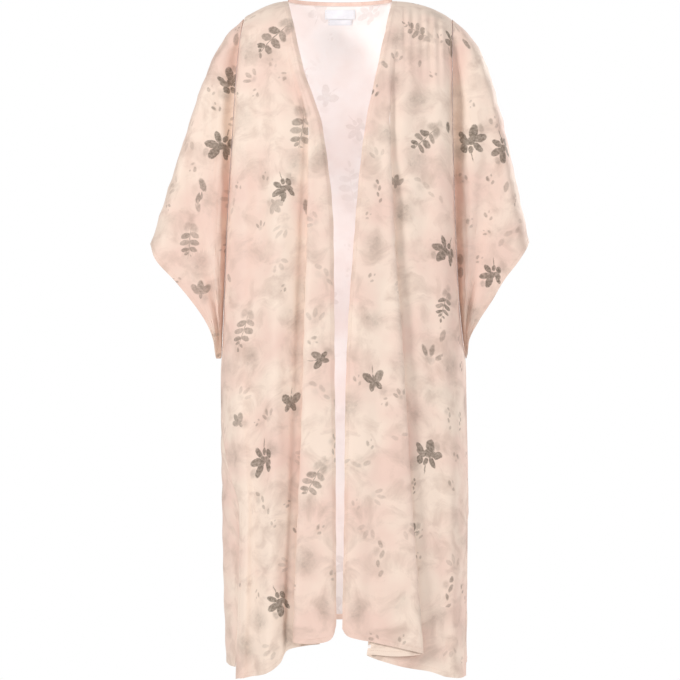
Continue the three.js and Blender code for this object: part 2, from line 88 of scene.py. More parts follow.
# The smooth form under the cloth, a column for each height
SECTIONS = {
    "drop": [0, 60, 150, 260, 400, 622, 860, 1130],
    "right": [200, 200, 200, 200, 201, 202, 199.5, 193],
    "left": [214, 214, 214, 214, 214, 214, 217.5, 216],
    "front": [46, 78, 104, 117, 122, 126, 131, 137],
    "back": [56, 75, 90, 98, 101, 105, 110, 118],
}

# The armhole seams: how far out, and how far from the arm line in front and behind
ARMHOLES = {
    "drop": [28, 120, 230, 400, 500, 560, 592, 608],
    "right": [163, 174, 181, 191, 195, 198, 200, 202],
    "left": [190, 189, 190, 195, 200, 206, 211, 214],
    "front": [38, 38, 37, 36, 31, 22, 9, 1.2],
    "back": [38, 42, 45, 42, 35, 24, 9, 1.2],
}

# The side seams and slits: how far in front of the arm line each panel ends,
# and how far the back's edge hides behind the front's
SIDE_SEAMS = {
    "right": {
        "drop": [608, 700, 780, 860, 892, 940, 1040, 1130],
        "front": [1.2, 22, 55, 82, 82, 81, 77, 71],
        "back": [1.2, 22, 55, 82, 82, 90, 77, 53],
        "behind": [0, 0, 0, 0, 5, 8, 8, 8],
    },
    "left": {
        "drop": [608, 700, 860, 892, 940, 1130],
        "front": [1.2, 9, 26, 28, 30, 36],
        "back": [1.2, 9, 26, 28, 42, 46],
        "behind": [0, 0, 0, 5, 7, 7],
    },
}

# The fronts' fold lines, from the centre edge to the side: places at OUT_AT,
# depths behind the smooth form at BEHIND_AT, and the hem's drop
OUT_AT = [0, 120, 230, 400, 620, 860, 1120]
BEHIND_AT = [50, 230, 400, 1120]
FRONT_FOLDS = {
    "right": {
        "edge": ([88, 62, 28, 11, 9, 7, 7], [5, 6, 6, 6], 1040),
        "face": ([92, 69, 35, 19, 17, 15, 15], [0, 0, 0, 0], 1062),
        "strip": ([94, 72, 43, 36, 38, 41, 46], [0, 0, -2, -2], 1069),
        "bend": ([96, 75, 49, 48, 55, 62, 72], [0, -1, -3, -4], 1068),
        "crest": ([98, 77, 53, 54, 61, 69, 79], [0, 1, 1, 0], 1067),
        "lap": ([100, 79, 51, 50, 53, 55, 53], [0, 3, 6, 6], 1069),
        "under": ([102, 81, 52, 46, 46, 43, 31], [0, 6, 10, 10], 1071),
        "return": ([104, 83, 55, 52, 57, 59, 57], [0, 9, 14, 15], 1075),
        "valley": ([107, 86, 60, 63, 72, 80, 90], [0, 9, 15, 17], 1085),
        "rise": ([112, 93, 69, 75, 84, 90, 98], [0, 5, 7, 8], 1103),
        "ridge": ([126, 113, 99, 102, 106, 111, 119], [0, -3, -5, -6], 1119),
        "trough": ([142, 139, 136, 138, 146, 143, 149], [1, 6, 8, 6], 1130),
        "swell": ([151, 153, 156, 159, 168, 153, 160], [-1, -2, -3, -2], 1133),
        "side": ([158, 167, 173, 183, 191, 160, 169], [-1, -5, -6, -2], 1135),
    },
    "left": {
        "edge": ([88, 63, 41, 24, 10, 7, 3], [5, 6, 6, 6], 1045),
        "face": ([92, 69, 48, 31, 18, 15, 11], [0, 0, 0, 0], 1056),
        "strip": ([94, 74, 58, 48, 40, 36, 30], [0, 0, -2, -2], 1062),
        "dip": ([96, 78, 68, 67, 68, 60, 50], [0, 0, 0, 4], 1067),
        "bend": ([98, 82, 78, 84, 98, 113, 132], [0, -1, -3, -3], 1086),
        "crest": ([100, 85, 83, 90, 105, 120, 139], [0, 1, 1, 0], 1089),
        "lap": ([102, 87, 81, 86, 96, 103, 95], [0, 3, 6, 6], 1092),
        "under": ([104, 89, 82, 82, 85, 79, 39], [0, 6, 10, 10], 1089),
        "return": ([106, 91, 85, 88, 97, 104, 96], [0, 9, 14, 14], 1109),
        "valley": ([109, 95, 90, 98, 114, 131, 148], [0, 9, 14, 14], 1121),
        "rise": ([120, 110, 110, 119, 136, 150, 162], [1, 4, 9, 10], 1126),
        "hollow": ([138, 142, 143, 143, 153, 165, 174], [3, 5, 6, 6], 1131),
        "swell": ([156, 163, 166, 168, 177, 184, 190], [-2, -4, -5, -4], 1134),
        "side": ([178, 181, 183, 187, 200, 204, 202], [0, -5, -6, -3], 1137),
    },
}
FRONT_SIDE_HEM = 1137
COLUMN_STEP = 2.8
LEAST_STEPS = 3

# How the armholes' allowances turn in: they end above the underarm, grow over a length,
# and point at the armhole's middle, between its lowest and highest places. Where one is
# shorter than the least, the seam lies a share of a column in from the edge instead.
TURN = {"end": 12, "grow": 50, "low": 60, "high": 80, "least": 0.5, "seam": 0.25}

# Small gathers that the left shoulder seam takes in
GATHERS = {"waves": 5, "start": 104, "stop": 176, "high": 1.9, "top": 30, "fade": 185}

# The back's soft folds: their place across from the right edge, 0, to the left one, 1
BACK_FOLDS = [
    (0.2, 150, 0.07, 7),
    (0.3, 260, 0.06, -8),
    (0.4, 180, 0.065, 7),
    (0.49, 90, 0.06, -8),
    (0.58, 300, 0.07, 8),
    (0.67, 160, 0.06, -8),
    (0.76, 240, 0.07, 7),
    (0.85, 170, 0.06, -5),
]
BACK_HEM = {"middle": 1063, "side": 1120, "level": 0.15, "slope": 0.55}
BACK_COLUMNS = {"shoulder": 8, "neck": 12}
BACK_FINE = 4
BACK_SPREAD = 330
BACK_FOLD_GROWS = 240
BACK_EDGE_SHARES = [1, 0.6, 0.2, 0]
SEAM_RIDGE = 2
RIDGE_FADE = 60

# The sleeves: the line over the arm, then the cuff from its top to the underarm, as (out, drop)
SLEEVES = {
    "right": {
        "arm": [(163, 28), (199, 66), (230, 131), (264, 233), (297, 335), (321, 410)],
        "cuff": [(321, 410), (308, 440), (276, 475), (249, 508), (226, 541), (213, 574), (210, 604)],
        "folds": [(0.26, 0.2, 2.5), (0.5, 0.2, -2.5), (0.78, 0.18, 2)],
    },
    "left": {
        "arm": [(190, 29), (220, 56), (245, 98), (272, 186), (298, 301), (321, 407)],
        "cuff": [(321, 407), (301, 439), (275, 473), (255, 507), (233, 541), (217, 574), (216, 598)],
        "folds": [(0.2, 0.16, 3.5), (0.44, 0.2, -2.5), (0.74, 0.2, 2)],
    },
}
SLEEVE_DEPTH = 49
SLEEVE_COLUMNS = [0, 0.02, 0.05, 0.1, 0.18, 0.28, 0.4, 0.52, 0.64, 0.76, 0.88, 1]
SLEEVE_FINE = 3
SLEEVE_EDGE = 1.05
SLEEVE_OVER = 36
SLEEVE_FOOT = 604
SLEEVE_SEAM_SHARE = 0.1
SLEEVE_CLOSING = 5
SLEEVE_FOLDS = {"rise": 4, "fall": 5}
CURVE_TESTS = 401

# Slight waves that soft crepe hangs in: spacing, height, lean and shift of each,
# how far and over what length they wander, and how they fade at the top and at a seam
RIPPLES = [
    (61, 0.55, 0.05, 0.3),
    (37, 0.35, -0.08, 1.9),
    (23, 0.16, 0.15, 4.1),
    (150, 0.5, 2.6, 2.2),
]
WANDER = {"wide": 9, "long": 170}
RIPPLE_FADE = {"top": 60, "seam": 30}

# The print's motifs, petal by petal, in a square of their own:
# centre across and up, half width, half length, turn in degrees, softness, strength
MOTIF_STEP = 100
MOTIFS = {
    "sprig": {
        "reach": 52,
        "petals": [
            (0, 6, 0.8, 32, 0, 0.5, 0.8),
            (1, 40, 2.2, 4.5, 10, 0.25, 0.9),
            (-4, 32, 2.2, 3.8, 45, 0.25, 0.8),
            (4, 28, 2.8, 4.4, -45, 0.2, 0.9),
            (-8, 19, 4.4, 8.2, 74, 0.16, 0.85),
            (7, 21, 4, 7.4, -70, 0.16, 1),
            (-9, 6, 5.2, 9.4, 80, 0.16, 0.9),
            (9, 8, 4.8, 9, -72, 0.16, 0.75),
            (-8, -8, 4.8, 9, 68, 0.18, 0.75),
            (8, -5, 5.2, 9, -64, 0.16, 0.95),
            (-5, -22, 6.2, 10, 35, 0.45, 0.6),
            (6, -24, 5.8, 9, -20, 0.5, 0.5),
            (0, -37, 5.5, 8, 0, 0.8, 0.35),
        ],
    },
    "blossom": {
        "reach": 34,
        "petals": [
            (5, 12, 6, 10.5, -12, 0.12, 1),
            (14, 3, 5.6, 9.6, -70, 0.12, 0.95),
            (-10, 6, 3.6, 7.6, 35, 0.14, 1),
            (-7, -1, 4.6, 8, 55, 0.14, 0.9),
            (-8, -11, 4.6, 6.6, 20, 0.14, 1),
            (1, -13, 3.4, 5.2, 0, 0.16, 0.95),
            (11, -10, 4.4, 8.6, 48, 0.14, 1),
            (2, -1, 5, 5.6, 20, 0.14, 1),
            (3, -23, 0.9, 7, 12, 0.5, 0.8),
            (-14, -17, 7, 9.5, 30, 0.7, 0.35),
            (15, 17, 4, 6, 20, 0.4, 0.4),
        ],
    },
    "butterfly": {
        "reach": 28,
        "petals": [
            (-8, 5, 5.8, 9.4, 38, 0.12, 1),
            (8, 5, 5.8, 9.4, -38, 0.12, 0.88),
            (-5, -8, 4, 7, -22, 0.14, 0.95),
            (5, -8, 4, 7, 24, 0.14, 1),
            (0, 0, 1.8, 9.5, 0, 0.2, 1),
            (1, 16, 0.7, 6, -12, 0.5, 0.7),
            (10, -17, 5, 7, -30, 0.7, 0.3),
        ],
    },
    "leaf": {"reach": 14, "petals": [(0, 0, 4.4, 9.5, 0, 0.22, 1)]},
    "blotch": {
        "reach": 30,
        "petals": [(0, 0, 13, 17, 0, 0.95, 0.6), (4, 6, 6, 7, 0, 0.7, 0.65), (-5, -7, 4, 5, 0, 0.6, 0.7)],
    },
    "three": {
        "reach": 20,
        "petals": [
            (-8, 0, 3, 6.6, 25, 0.28, 1),
            (1, 4, 3.2, 7, -10, 0.28, 0.9),
            (10, -2, 2.8, 6, -40, 0.28, 0.8),
            (-1, -8, 5, 4, 0, 0.8, 0.5),
        ],
    },
    "row": {
        "reach": 34,
        "petals": [
            (0, 23, 3.2, 5.8, 20, 0.3, 1),
            (3, 8, 3.2, 6.4, -15, 0.3, 0.9),
            (-2, -6, 2.8, 5.4, 10, 0.3, 1),
            (3, -21, 3.2, 5.4, -25, 0.3, 0.8),
            (-6, 13, 4.5, 6, 0, 0.8, 0.5),
        ],
    },
    "fan": {
        "reach": 24,
        "petals": [
            (-8, 4, 5, 9, 40, 0.2, 0.9),
            (0, 8, 5.2, 9.8, 0, 0.2, 1),
            (8, 4, 5, 9, -40, 0.2, 0.9),
            (0, -5, 3, 6, 0, 0.2, 0.9),
            (6, -10, 6, 7, 0, 0.8, 0.4),
        ],
    },
    "seeds": {
        "reach": 12,
        "petals": [
            (-3, 2, 2.2, 3.6, 20, 0.4, 1),
            (4, -3, 1.8, 3, -30, 0.4, 0.8),
            (2, 7, 1.2, 1.8, 0, 0.5, 0.7),
        ],
    },
}
PRINT_SIZE = 1.2
SHADES = 4
BLANK_PLACE = 950
EDGE_WOBBLE = 3.4

# A motif goes to the nearest face that looks to the front, and to the outer one of a fold's layers
FACES_BACK = 0.1
NEVER = 1e4
LAYER_SHARE = 0.02

# Where the motifs lie as seen from the front: across, drop, motif, turn, size and shade
MOTIF_PLACES = {
    "front_right": [
        (-108, 71, "sprig", 119, 1, 3), (-153, 94, "blotch", 0, 1, 1),
        (-149, 138, "three", 40, 0.9, 1), (-112, 115, "seeds", 0, 1, 0),
        (-61, 225, "sprig", 158, 0.95, 2), (-71, 274, "blotch", 0, 0.9, 1),
        (-90, 327, "blossom", 175, 0.85, 3), (-108, 350, "fan", 200, 0.85, 1),
        (-130, 379, "three", 0, 0.6, 1), (-56, 355, "leaf", 0, 1.1, 2),
        (-184, 471, "leaf", 30, 0.8, 1), (-159, 553, "sprig", 160, 0.8, 2),
        (-148, 601, "blotch", 0, 0.8, 1), (-31, 606, "butterfly", 100, 0.8, 3),
        (-66, 599, "blotch", 0, 0.8, 0), (-82, 673, "butterfly", 0, 0.9, 3),
        (-120, 693, "three", 20, 0.8, 1), (-167, 706, "fan", 30, 0.8, 2),
        (-125, 773, "blossom", 160, 1.05, 3), (-126, 842, "row", 30, 0.8, 1),
        (-44, 803, "sprig", 150, 0.8, 2), (-56, 845, "blotch", 0, 0.8, 0),
        (-54, 934, "blotch", 0, 1, 1), (-54, 985, "blotch", 0, 0.9, 1),
        (-25, 1008, "blotch", 0, 0.8, 1), (-72, 889, "seeds", 0, 1, 2),
        (-171, 978, "seeds", 0, 1, 2), (-98, 1003, "blossom", 180, 0.9, 3),
        (-84, 1060, "blotch", 0, 0.9, 1), (-11, 750, "row", 0, 0.7, 1),
    ],
    "front_left": [
        (133, 56, "sprig", 75, 0.7, 2), (97, 74, "blotch", 0, 0.9, 1),
        (166, 71, "seeds", 0, 1, 1), (187, 78, "blossom", 200, 0.9, 3),
        (93, 106, "three", 10, 0.7, 1), (74, 114, "leaf", 50, 0.7, 1),
        (133, 110, "leaf", 0, 0.6, 1), (56, 163, "seeds", 0, 1.2, 3),
        (141, 240, "sprig", 145, 0.8, 3), (125, 279, "blotch", 0, 0.9, 1),
        (179, 219, "leaf", 0, 0.9, 3), (93, 311, "fan", 0, 0.7, 2),
        (62, 327, "row", 10, 0.6, 2), (103, 360, "blotch", 0, 0.9, 2),
        (177, 429, "blossom", 160, 0.95, 3), (172, 512, "sprig", 180, 0.65, 3),
        (171, 563, "leaf", 0, 0.9, 1), (198, 479, "leaf", 0, 0.7, 1),
        (56, 639, "butterfly", 15, 0.95, 3), (95, 609, "blotch", 0, 0.9, 0),
        (97, 663, "three", 30, 0.7, 1), (151, 593, "three", 0, 1.2, 2),
        (184, 620, "blotch", 0, 0.9, 1), (180, 702, "row", 10, 0.6, 1),
        (144, 755, "blossom", 0, 1, 3), (121, 814, "row", 0, 0.4, 2),
        (105, 898, "blossom", 0, 0.9, 3), (131, 893, "seeds", 0, 1, 1),
        (67, 930, "row", 0, 0.9, 1), (184, 812, "seeds", 0, 1, 1),
        (179, 996, "row", 10, 0.9, 2), (164, 1029, "blotch", 0, 0.9, 1),
        (202, 616, "seeds", 0, 1, 2), (200, 709, "row", 0, 0.5, 2),
        (203, 988, "seeds", 0, 1, 2), (48, 743, "seeds", 0, 1, 1),
        (89, 757, "seeds", 0, 1, 1), (30, 637, "seeds", 0, 1, 1),
        (26, 845, "seeds", 0, 1, 0), (98, 1003, "blotch", 0, 0.8, 0),
        (26, 1017, "blotch", 0, 0.8, 1), (141, 1090, "blotch", 0, 0.8, 0),
        (97, 1065, "seeds", 0, 1, 1),
    ],
    "sleeve_right": [
        (-176, 67, "leaf", 10, 1, 1), (-186, 141, "blossom", 20, 0.9, 3),
        (-217, 158, "seeds", 0, 1, 1), (-207, 185, "seeds", 30, 1, 2),
        (-198, 250, "blossom", 150, 1, 3), (-230, 314, "leaf", 20, 1, 2),
        (-235, 333, "leaf", -30, 0.9, 2), (-240, 349, "leaf", 10, 0.8, 1),
        (-252, 402, "sprig", 175, 0.75, 2), (-235, 444, "blotch", 0, 0.9, 1),
        (-235, 492, "fan", 0, 0.9, 2),
    ],
    "sleeve_left": [
        (213, 77, "leaf", 30, 0.9, 2), (215, 237, "blossom", 0, 1, 3),
        (276, 254, "blossom", 190, 0.9, 3), (257, 207, "seeds", 0, 1.2, 1),
        (250, 306, "seeds", 0, 1, 2), (249, 368, "seeds", 0, 1, 1),
        (282, 318, "leaf", -15, 0.8, 1), (292, 343, "row", -10, 0.5, 1),
        (203, 437, "leaf", 0, 0.8, 1), (203, 459, "leaf", 0, 0.8, 1),
        (257, 465, "blossom", 170, 0.8, 3),
    ],
}

# Motifs where the front view doesn't show them, and faint ones between the others:
# which, with their shades, the step of their uneven lattice, its seed, and the side, -1 for the front
FULL_PRINT = [
    ("blossom", 3), ("blossom", 3), ("sprig", 2), ("butterfly", 3), ("sprig", 1), ("fan", 2), ("blotch", 1),
]
FAINT_PRINT = [
    ("seeds", 1), ("three", 0), ("blotch", 1), ("seeds", 1), ("row", 0), ("blotch", 0), ("blotch", 1),
]
SCATTER = {
    "back": [(FULL_PRINT, 92, 11, 1), (FAINT_PRINT, 44, 12, 1)],
    "front_right": [(FAINT_PRINT, 50, 21, -1)],
    "front_left": [(FAINT_PRINT, 50, 22, -1)],
    "sleeve_right": [(FULL_PRINT, 92, 31, 1), (FAINT_PRINT, 44, 32, 1), (FAINT_PRINT, 44, 33, -1)],
    "sleeve_left": [(FULL_PRINT, 92, 41, 1), (FAINT_PRINT, 44, 42, 1), (FAINT_PRINT, 44, 43, -1)],
}

# How scattered motifs vary, how close two may come, and how far from the cloth's edge
# and from the arm line one has to be
SCATTERED = {"uneven": (0.1, 0.8), "sizes": (0.75, 1.05), "apart": 0.85, "edge": 12, "arm_line": 4}

# Hem stitches
STITCH_LONG = 1.9
STITCH_STEP = 3.2
STITCH_ROUND = 0.22
STITCH_INSIDE = 7.5
STITCH_LIFT = 0.05

# Rows or columns that the stitches leave free at the ends of a hem
STITCH_FREE = {"back_foot": 8, "back_slit": 2, "cuff": 2, "front_top": 6, "front_foot": 4, "front_hem": 3}

# The label and the tab under it, "cut" being the length each was cut to
LABELS = {
    "label": {"wide": 52, "top": 5, "tall": 15, "thick": 0.6, "cut": 15},
    "size_tab": {"wide": 40, "top": 20.6, "tall": 9, "thick": 0.6, "cut": 10},
}
LABEL_INSIDE = 1.75
LABEL_COLUMNS = 26
LABEL_ROWS = 8
LABEL_STITCH_OUT = 0.4

# The sizes of the patterns in the cloths: the dyed ground's drift and clouds, the print's uneven
# edges and streaks, the crepe's pebbles and crinkles, and the trims' patches.
# Crepe's pebbles are really about 0.5 mm across: they are drawn coarser, so that they show.
DRIFT = 143
CLOUD = 41.7
WOBBLE = 7.69
STREAK = 4.76
PEBBLE = 1.61
CRINKLE = 11.1
PATCH = 16.7

# A wave texture runs through 20 radians in each unit of its scale
WAVE_TURNS = 20 / (2 * math.pi)

# The colour sockets of a Mix node: its inputs A and B, and its result
A, B, RESULT = 6, 7, 2


def through(places, values, at):
    """A smooth curve through values at rising places, with no overshoot."""
    places = np.asarray(places, float)
    values = np.asarray(values, float)
    at = np.clip(np.asarray(at, float), places[0], places[-1])
    width = np.diff(places)
    slope = np.diff(values) / width
    before, after = slope[:-1], slope[1:]
    total = np.where(before + after == 0, 1, before + after)
    inner = np.where(before * after <= 0, 0, 2 * before * after / total)
    tangent = np.concatenate([slope[:1], inner, slope[-1:]])
    k = np.clip(np.searchsorted(places, at, side="right") - 1, 0, len(width) - 1)
    t = (at - places[k]) / width[k]
    near = (1 + 2 * t) * (1 - t) ** 2 * values[k] + t**2 * (3 - 2 * t) * values[k + 1]
    return near + width[k] * (t * (1 - t) ** 2 * tangent[k] - t**2 * (1 - t) * tangent[k + 1])


def section(key, drop):
    """The smooth form's size at each drop."""
    return through(SECTIONS["drop"], SECTIONS[key], drop)


def rounded(below):
    """How full the cloth is below a shoulder or an arm line: 0 on it, 1 where it hangs."""
    return np.sqrt(1 - (1 - np.clip(below / SHOULDER_ROUND, 0, 1)) ** 2)


def ease(t):
    """A soft step from 0 to 1."""
    t = np.clip(t, 0, 1)
    return t * t * (3 - 2 * t)


def bell(t):
    """A soft bump, 1 in its middle and 0 from 1 outwards."""
    return np.where(np.abs(t) >= 1, 0, (1 - t * t) ** 2)


def shoulder_drop(side, out):
    """How far the shoulder seam has dropped at a place along it."""
    spec = SIDES[side]
    t = max(0, (out - NECK_HALF) / (spec["tip"] - NECK_HALF))
    return (spec["fall"] + NECK_RISE) * t ** spec["bend"] - NECK_RISE


def row_drops(top, hem):
    """Heights of the rows, so that neighbouring panels meet row by row."""
    count = ROWS["shoulder"] * FINE
    over = top + SHOULDER_ROUND * (1 - np.cos(np.linspace(0, math.pi / 2, count + 1)))
    parts = [over]
    for stop, name in ((UNDERARM, "armhole"), (SLIT_TOP, "side"), (hem, "slit")):
        start = parts[-1][-1]
        parts.append(np.linspace(start, stop, ROWS[name] * FINE + 1)[1:])
    return np.concatenate(parts)


def side_edge(side, drop, panel):
    """Where a panel ends at its side: (out, depth) at each drop."""
    inside = ALLOWANCE_APART * ease((ALLOWANCE_END - drop) / ALLOWANCE_FADE)
    arm_out = through(ARMHOLES["drop"], ARMHOLES[side], drop)
    arm_depth = through(ARMHOLES["drop"], ARMHOLES[panel], drop) * rounded(drop - SIDES[side]["fall"])
    seams = SIDE_SEAMS[side]
    depth = through(seams["drop"], seams[panel], drop)
    share = np.clip(depth / section("front", drop), 0, 1)
    out = section(side, drop) * (1 - share**SQUARENESS) ** (1 / SQUARENESS)
    above = drop < UNDERARM
    return np.where(above, arm_out, out) - inside, np.where(above, arm_depth, depth)


def unit(v):
    """Vectors of length 1."""
    return v / np.maximum(np.linalg.norm(v, axis=-1, keepdims=True), 1e-9)


def spline(points, places):
    """Rows of points joined by smooth curves. places counts along the points, 0 at the first."""
    first = 2 * points[:, :1] - points[:, 1:2]
    last = 2 * points[:, -1:] - points[:, -2:-1]
    padded = np.concatenate([first, points, last], axis=1)
    places = np.asarray(places, float)
    k = np.clip(places.astype(int), 0, points.shape[1] - 2)
    t = (places - k)[None, :, None]
    p0, p1, p2, p3 = (padded[:, k + i] for i in range(4))
    pairs = ((p0, p1), (p1, p2), (p2, p3))
    spread = [np.sqrt(np.linalg.norm(b - a, axis=2, keepdims=True)) for a, b in pairs]
    d1 = np.maximum(spread[1], 1e-4)
    d0 = np.where(spread[0] < 1e-4, d1, spread[0])
    d2 = np.where(spread[2] < 1e-4, d1, spread[2])
    t1 = ((p1 - p0) / d0 - (p2 - p0) / (d0 + d1) + (p2 - p1) / d1) * d1
    t2 = ((p2 - p1) / d1 - (p3 - p1) / (d1 + d2) + (p3 - p2) / d2) * d1
    return p1 + t1 * t + (-3 * p1 + 3 * p2 - 2 * t1 - t2) * t**2 + (2 * p1 - 2 * p2 + t1 + t2) * t**3


def end_at_seam(grid):
    """The last two columns become the seam and its allowance, turned into the armhole."""
    last = grid[:, -1]
    before = grid[:, -2]
    drop = -last[:, 2]
    reach = ALLOWANCE * ease((UNDERARM - TURN["end"] - drop) / TURN["grow"])
    middle = np.minimum(UNDERARM - TURN["low"], np.maximum(TURN["high"], drop))
    inward = unit(np.stack([0 * drop, -last[:, 1], drop - middle], axis=1))
    turned = reach[:, None] >= TURN["least"]
    seam = np.where(turned, last, last + (before - last) * TURN["seam"])
    end = np.where(turned, last + inward * reach[:, None], last)
    return np.concatenate([grid[:, :-1], seam[:, None], end[:, None]], axis=1)


def front_surface(side):
    """A front, from its centre edge over its folds to the side and the armhole."""
    sign = SIDES[side]["sign"]
    columns = []
    for outs, behinds, hem in FRONT_FOLDS[side].values():
        drops = row_drops(shoulder_drop(side, outs[0]), hem)
        below = drops - drops[0]
        out = through(OUT_AT, outs, drops)
        behind = through(BEHIND_AT, behinds, drops) * np.minimum(1, below / SHOULDER_ROUND)
        share = np.clip(np.abs(out) / section(side, drops), 0, 1)
        full = (1 - share**SQUARENESS) ** (1 / SQUARENESS)
        depth = section("front", drops) * full * rounded(below)
        columns.append(np.stack([sign * out, behind - depth, -drops], axis=1))
    seam_drops = row_drops(SIDES[side]["fall"], FRONT_SIDE_HEM)
    seam_out, seam_depth = side_edge(side, seam_drops, "front")
    columns.append(np.stack([sign * seam_out, -seam_depth, -seam_drops], axis=1))
    points = np.stack(columns, axis=1)
    places = []
    for i in range(len(columns) - 1):
        wide = np.linalg.norm(points[:, i + 1] - points[:, i], axis=1).mean()
        steps = max(LEAST_STEPS, round(wide / COLUMN_STEP))
        places += [i + step / steps for step in range(steps)]
    places.append(len(columns) - 1)
    grid = spline(points, places)
    toward = unit(grid[:, -2] - grid[:, -1])
    grid[:, -1] += toward * PANEL_GAP / 2
    if side == "left":
        drop = -grid[:, :1, 2]
        strength = ease(drop / GATHERS["top"])
        strength = strength * (1 - ease((drop - GATHERS["top"]) / (GATHERS["fade"] - GATHERS["top"])))
        t = (grid[:, :, 0] - GATHERS["start"]) / (GATHERS["stop"] - GATHERS["start"])
        wave = np.sin(2 * math.pi * GATHERS["waves"] * t) * ((t > 0) & (t < 1))
        grid[:, :, 1] += GATHERS["high"] * strength * wave
    return end_at_seam(grid)


def angle_at(side, out, drop):
    """The angle round the smooth form, from its middle, of a place at the back."""
    share = np.clip(out / section(side, drop), 0, 1)
    return np.arcsin(share ** (SQUARENESS / 2))


def neck_scoop(x):
    """How far back the neckline lies."""
    return NECK_SCOOP * np.sqrt(np.maximum(0, 1 - (x / NECK_HALF) ** 2))


def back_point(angle, drop, top, neck_y, relief=0.0):
    """Points of the back, which lead from the neckline round the smooth form."""
    right = angle < 0
    across = np.abs(np.sin(angle)) ** (2 / SQUARENESS)
    along = np.sign(np.cos(angle)) * np.abs(np.cos(angle)) ** (2 / SQUARENESS)
    depth = np.where(along < 0, section("front", drop), section("back", drop))
    half = np.where(right, section("right", drop), section("left", drop))
    x = np.where(right, -1, 1) * across * half
    y = neck_y + (depth * along - neck_y) * rounded(drop - top)
    return np.stack([x + relief * np.sin(angle), y + relief * np.cos(angle), -drop + 0 * x], axis=-1)


def back_edge_angle(side, drop):
    """The angle at which the back ends, at the armhole, side seam or slit."""
    out, depth = side_edge(side, drop, "back")
    share = np.clip(depth / section("front", drop), 0, 1)
    below = math.pi / 2 + np.arcsin(share ** (SQUARENESS / 2))
    return np.where(drop < UNDERARM, angle_at(side, out, drop), below)


def back_top_places():
    """Where the back's columns begin, along the shoulder seams and the neckline."""
    shoulder = BACK_COLUMNS["shoulder"] * BACK_FINE
    neck = BACK_COLUMNS["neck"] * BACK_FINE
    steps = np.linspace(0, 1, shoulder + 1)[1:]
    right = -(NECK_HALF + (SIDES["right"]["tip"] - NECK_HALF) * steps[::-1])
    left = NECK_HALF + (SIDES["left"]["tip"] - NECK_HALF) * steps
    middle = -NECK_HALF * np.cos(np.linspace(0, math.pi, neck + 1))
    return np.concatenate([right, middle, left])


def back_surface():
    """The back, from the right side to the left, with its soft folds."""
    places = back_top_places()
    columns = []
    for i, x in enumerate(places):
        side = "right" if x < 0 else "left"
        even = i / (len(places) - 1)
        aside = 2 * even - 1
        hem_share = float(ease((abs(aside) - BACK_HEM["level"]) / BACK_HEM["slope"]))
        hem = BACK_HEM["middle"] + (BACK_HEM["side"] - BACK_HEM["middle"]) * hem_share
        drops = row_drops(shoulder_drop(side, abs(x)), hem)
        top_angle = math.copysign(1, x) * angle_at(side, abs(x), drops[0])
        sign = SIDES["right" if aside < 0 else "left"]["sign"]
        edge_angle = back_edge_angle("right" if aside < 0 else "left", drops)
        follow = ease((abs(aside) - 0.5) / 0.5)
        settled_angle = aside * math.pi / 2 + sign * (edge_angle - math.pi / 2) * follow
        angle = top_angle + (settled_angle - top_angle) * ease((drops - drops[0]) / BACK_SPREAD)
        relief = 0
        for at, begins, wide, out in BACK_FOLDS:
            relief = relief + out * ease((drops - begins) / BACK_FOLD_GROWS) * bell((even - at) / wide)
        neck_y = neck_scoop(x) if abs(x) < NECK_HALF else 0
        columns.append(back_point(angle, drops, drops[0], neck_y, relief))
    grid = np.stack(columns, axis=1)
    grid[0, :, 1] += PANEL_GAP / 2
    for side in ("left", "right"):
        grid = finish_back_edge(grid, side)[:, ::-1]
    return grid


def finish_back_edge(grid, side):
    """The last columns lead into the armhole seam, or hide behind the front at the slit."""
    drop = -grid[:, -1, 2]
    out, depth = side_edge(side, drop, "back")
    y = np.where(drop < UNDERARM, np.maximum(depth, PANEL_GAP / 2), -depth)
    seam = np.stack([SIDES[side]["sign"] * out, y, -drop], axis=1)
    shift = seam - grid[:, -1]
    count = (len(BACK_EDGE_SHARES) - 1) * BACK_FINE
    steps = np.arange(count)[::-1] / BACK_FINE
    near = np.clip(1 - steps, 0, 1)[None, :, None]
    grid[:, -count:] += shift[:, None] * near
    ridge = SEAM_RIDGE * rounded(drop - SIDES[side]["fall"]) * ease((UNDERARM - drop) / RIDGE_FADE)
    grid[:, -count:, 1] += ridge[:, None] * np.clip(1 - np.abs(steps - 1), 0, 1)[None]
    behind = through(SIDE_SEAMS[side]["drop"], SIDE_SEAMS[side]["behind"], drop)
    inward = unit(np.stack([-grid[:, -1, 0], -2 * grid[:, -1, 1], 0 * drop], axis=1))
    share = np.interp(steps, range(len(BACK_EDGE_SHARES)), BACK_EDGE_SHARES)
    grid[:, -count:] += (inward * behind[:, None])[:, None] * share[None, :, None]
    toward = unit(grid[:, -2] - grid[:, -1])
    grid[:, -1] += toward * PANEL_GAP / 2
    return end_at_seam(grid)


def even_curve(points, shares):
    """Points at even shares of a smooth curve's length."""
    tests = np.linspace(0, len(points) - 1, CURVE_TESTS)
    line = spline(np.asarray(points, float)[None], tests)[0]
    lengths = np.concatenate([[0], np.cumsum(np.linalg.norm(np.diff(line, axis=0), axis=1))])
    at = np.interp(np.asarray(shares) * lengths[-1], lengths, tests)
    return spline(np.asarray(points, float)[None], at)[0]


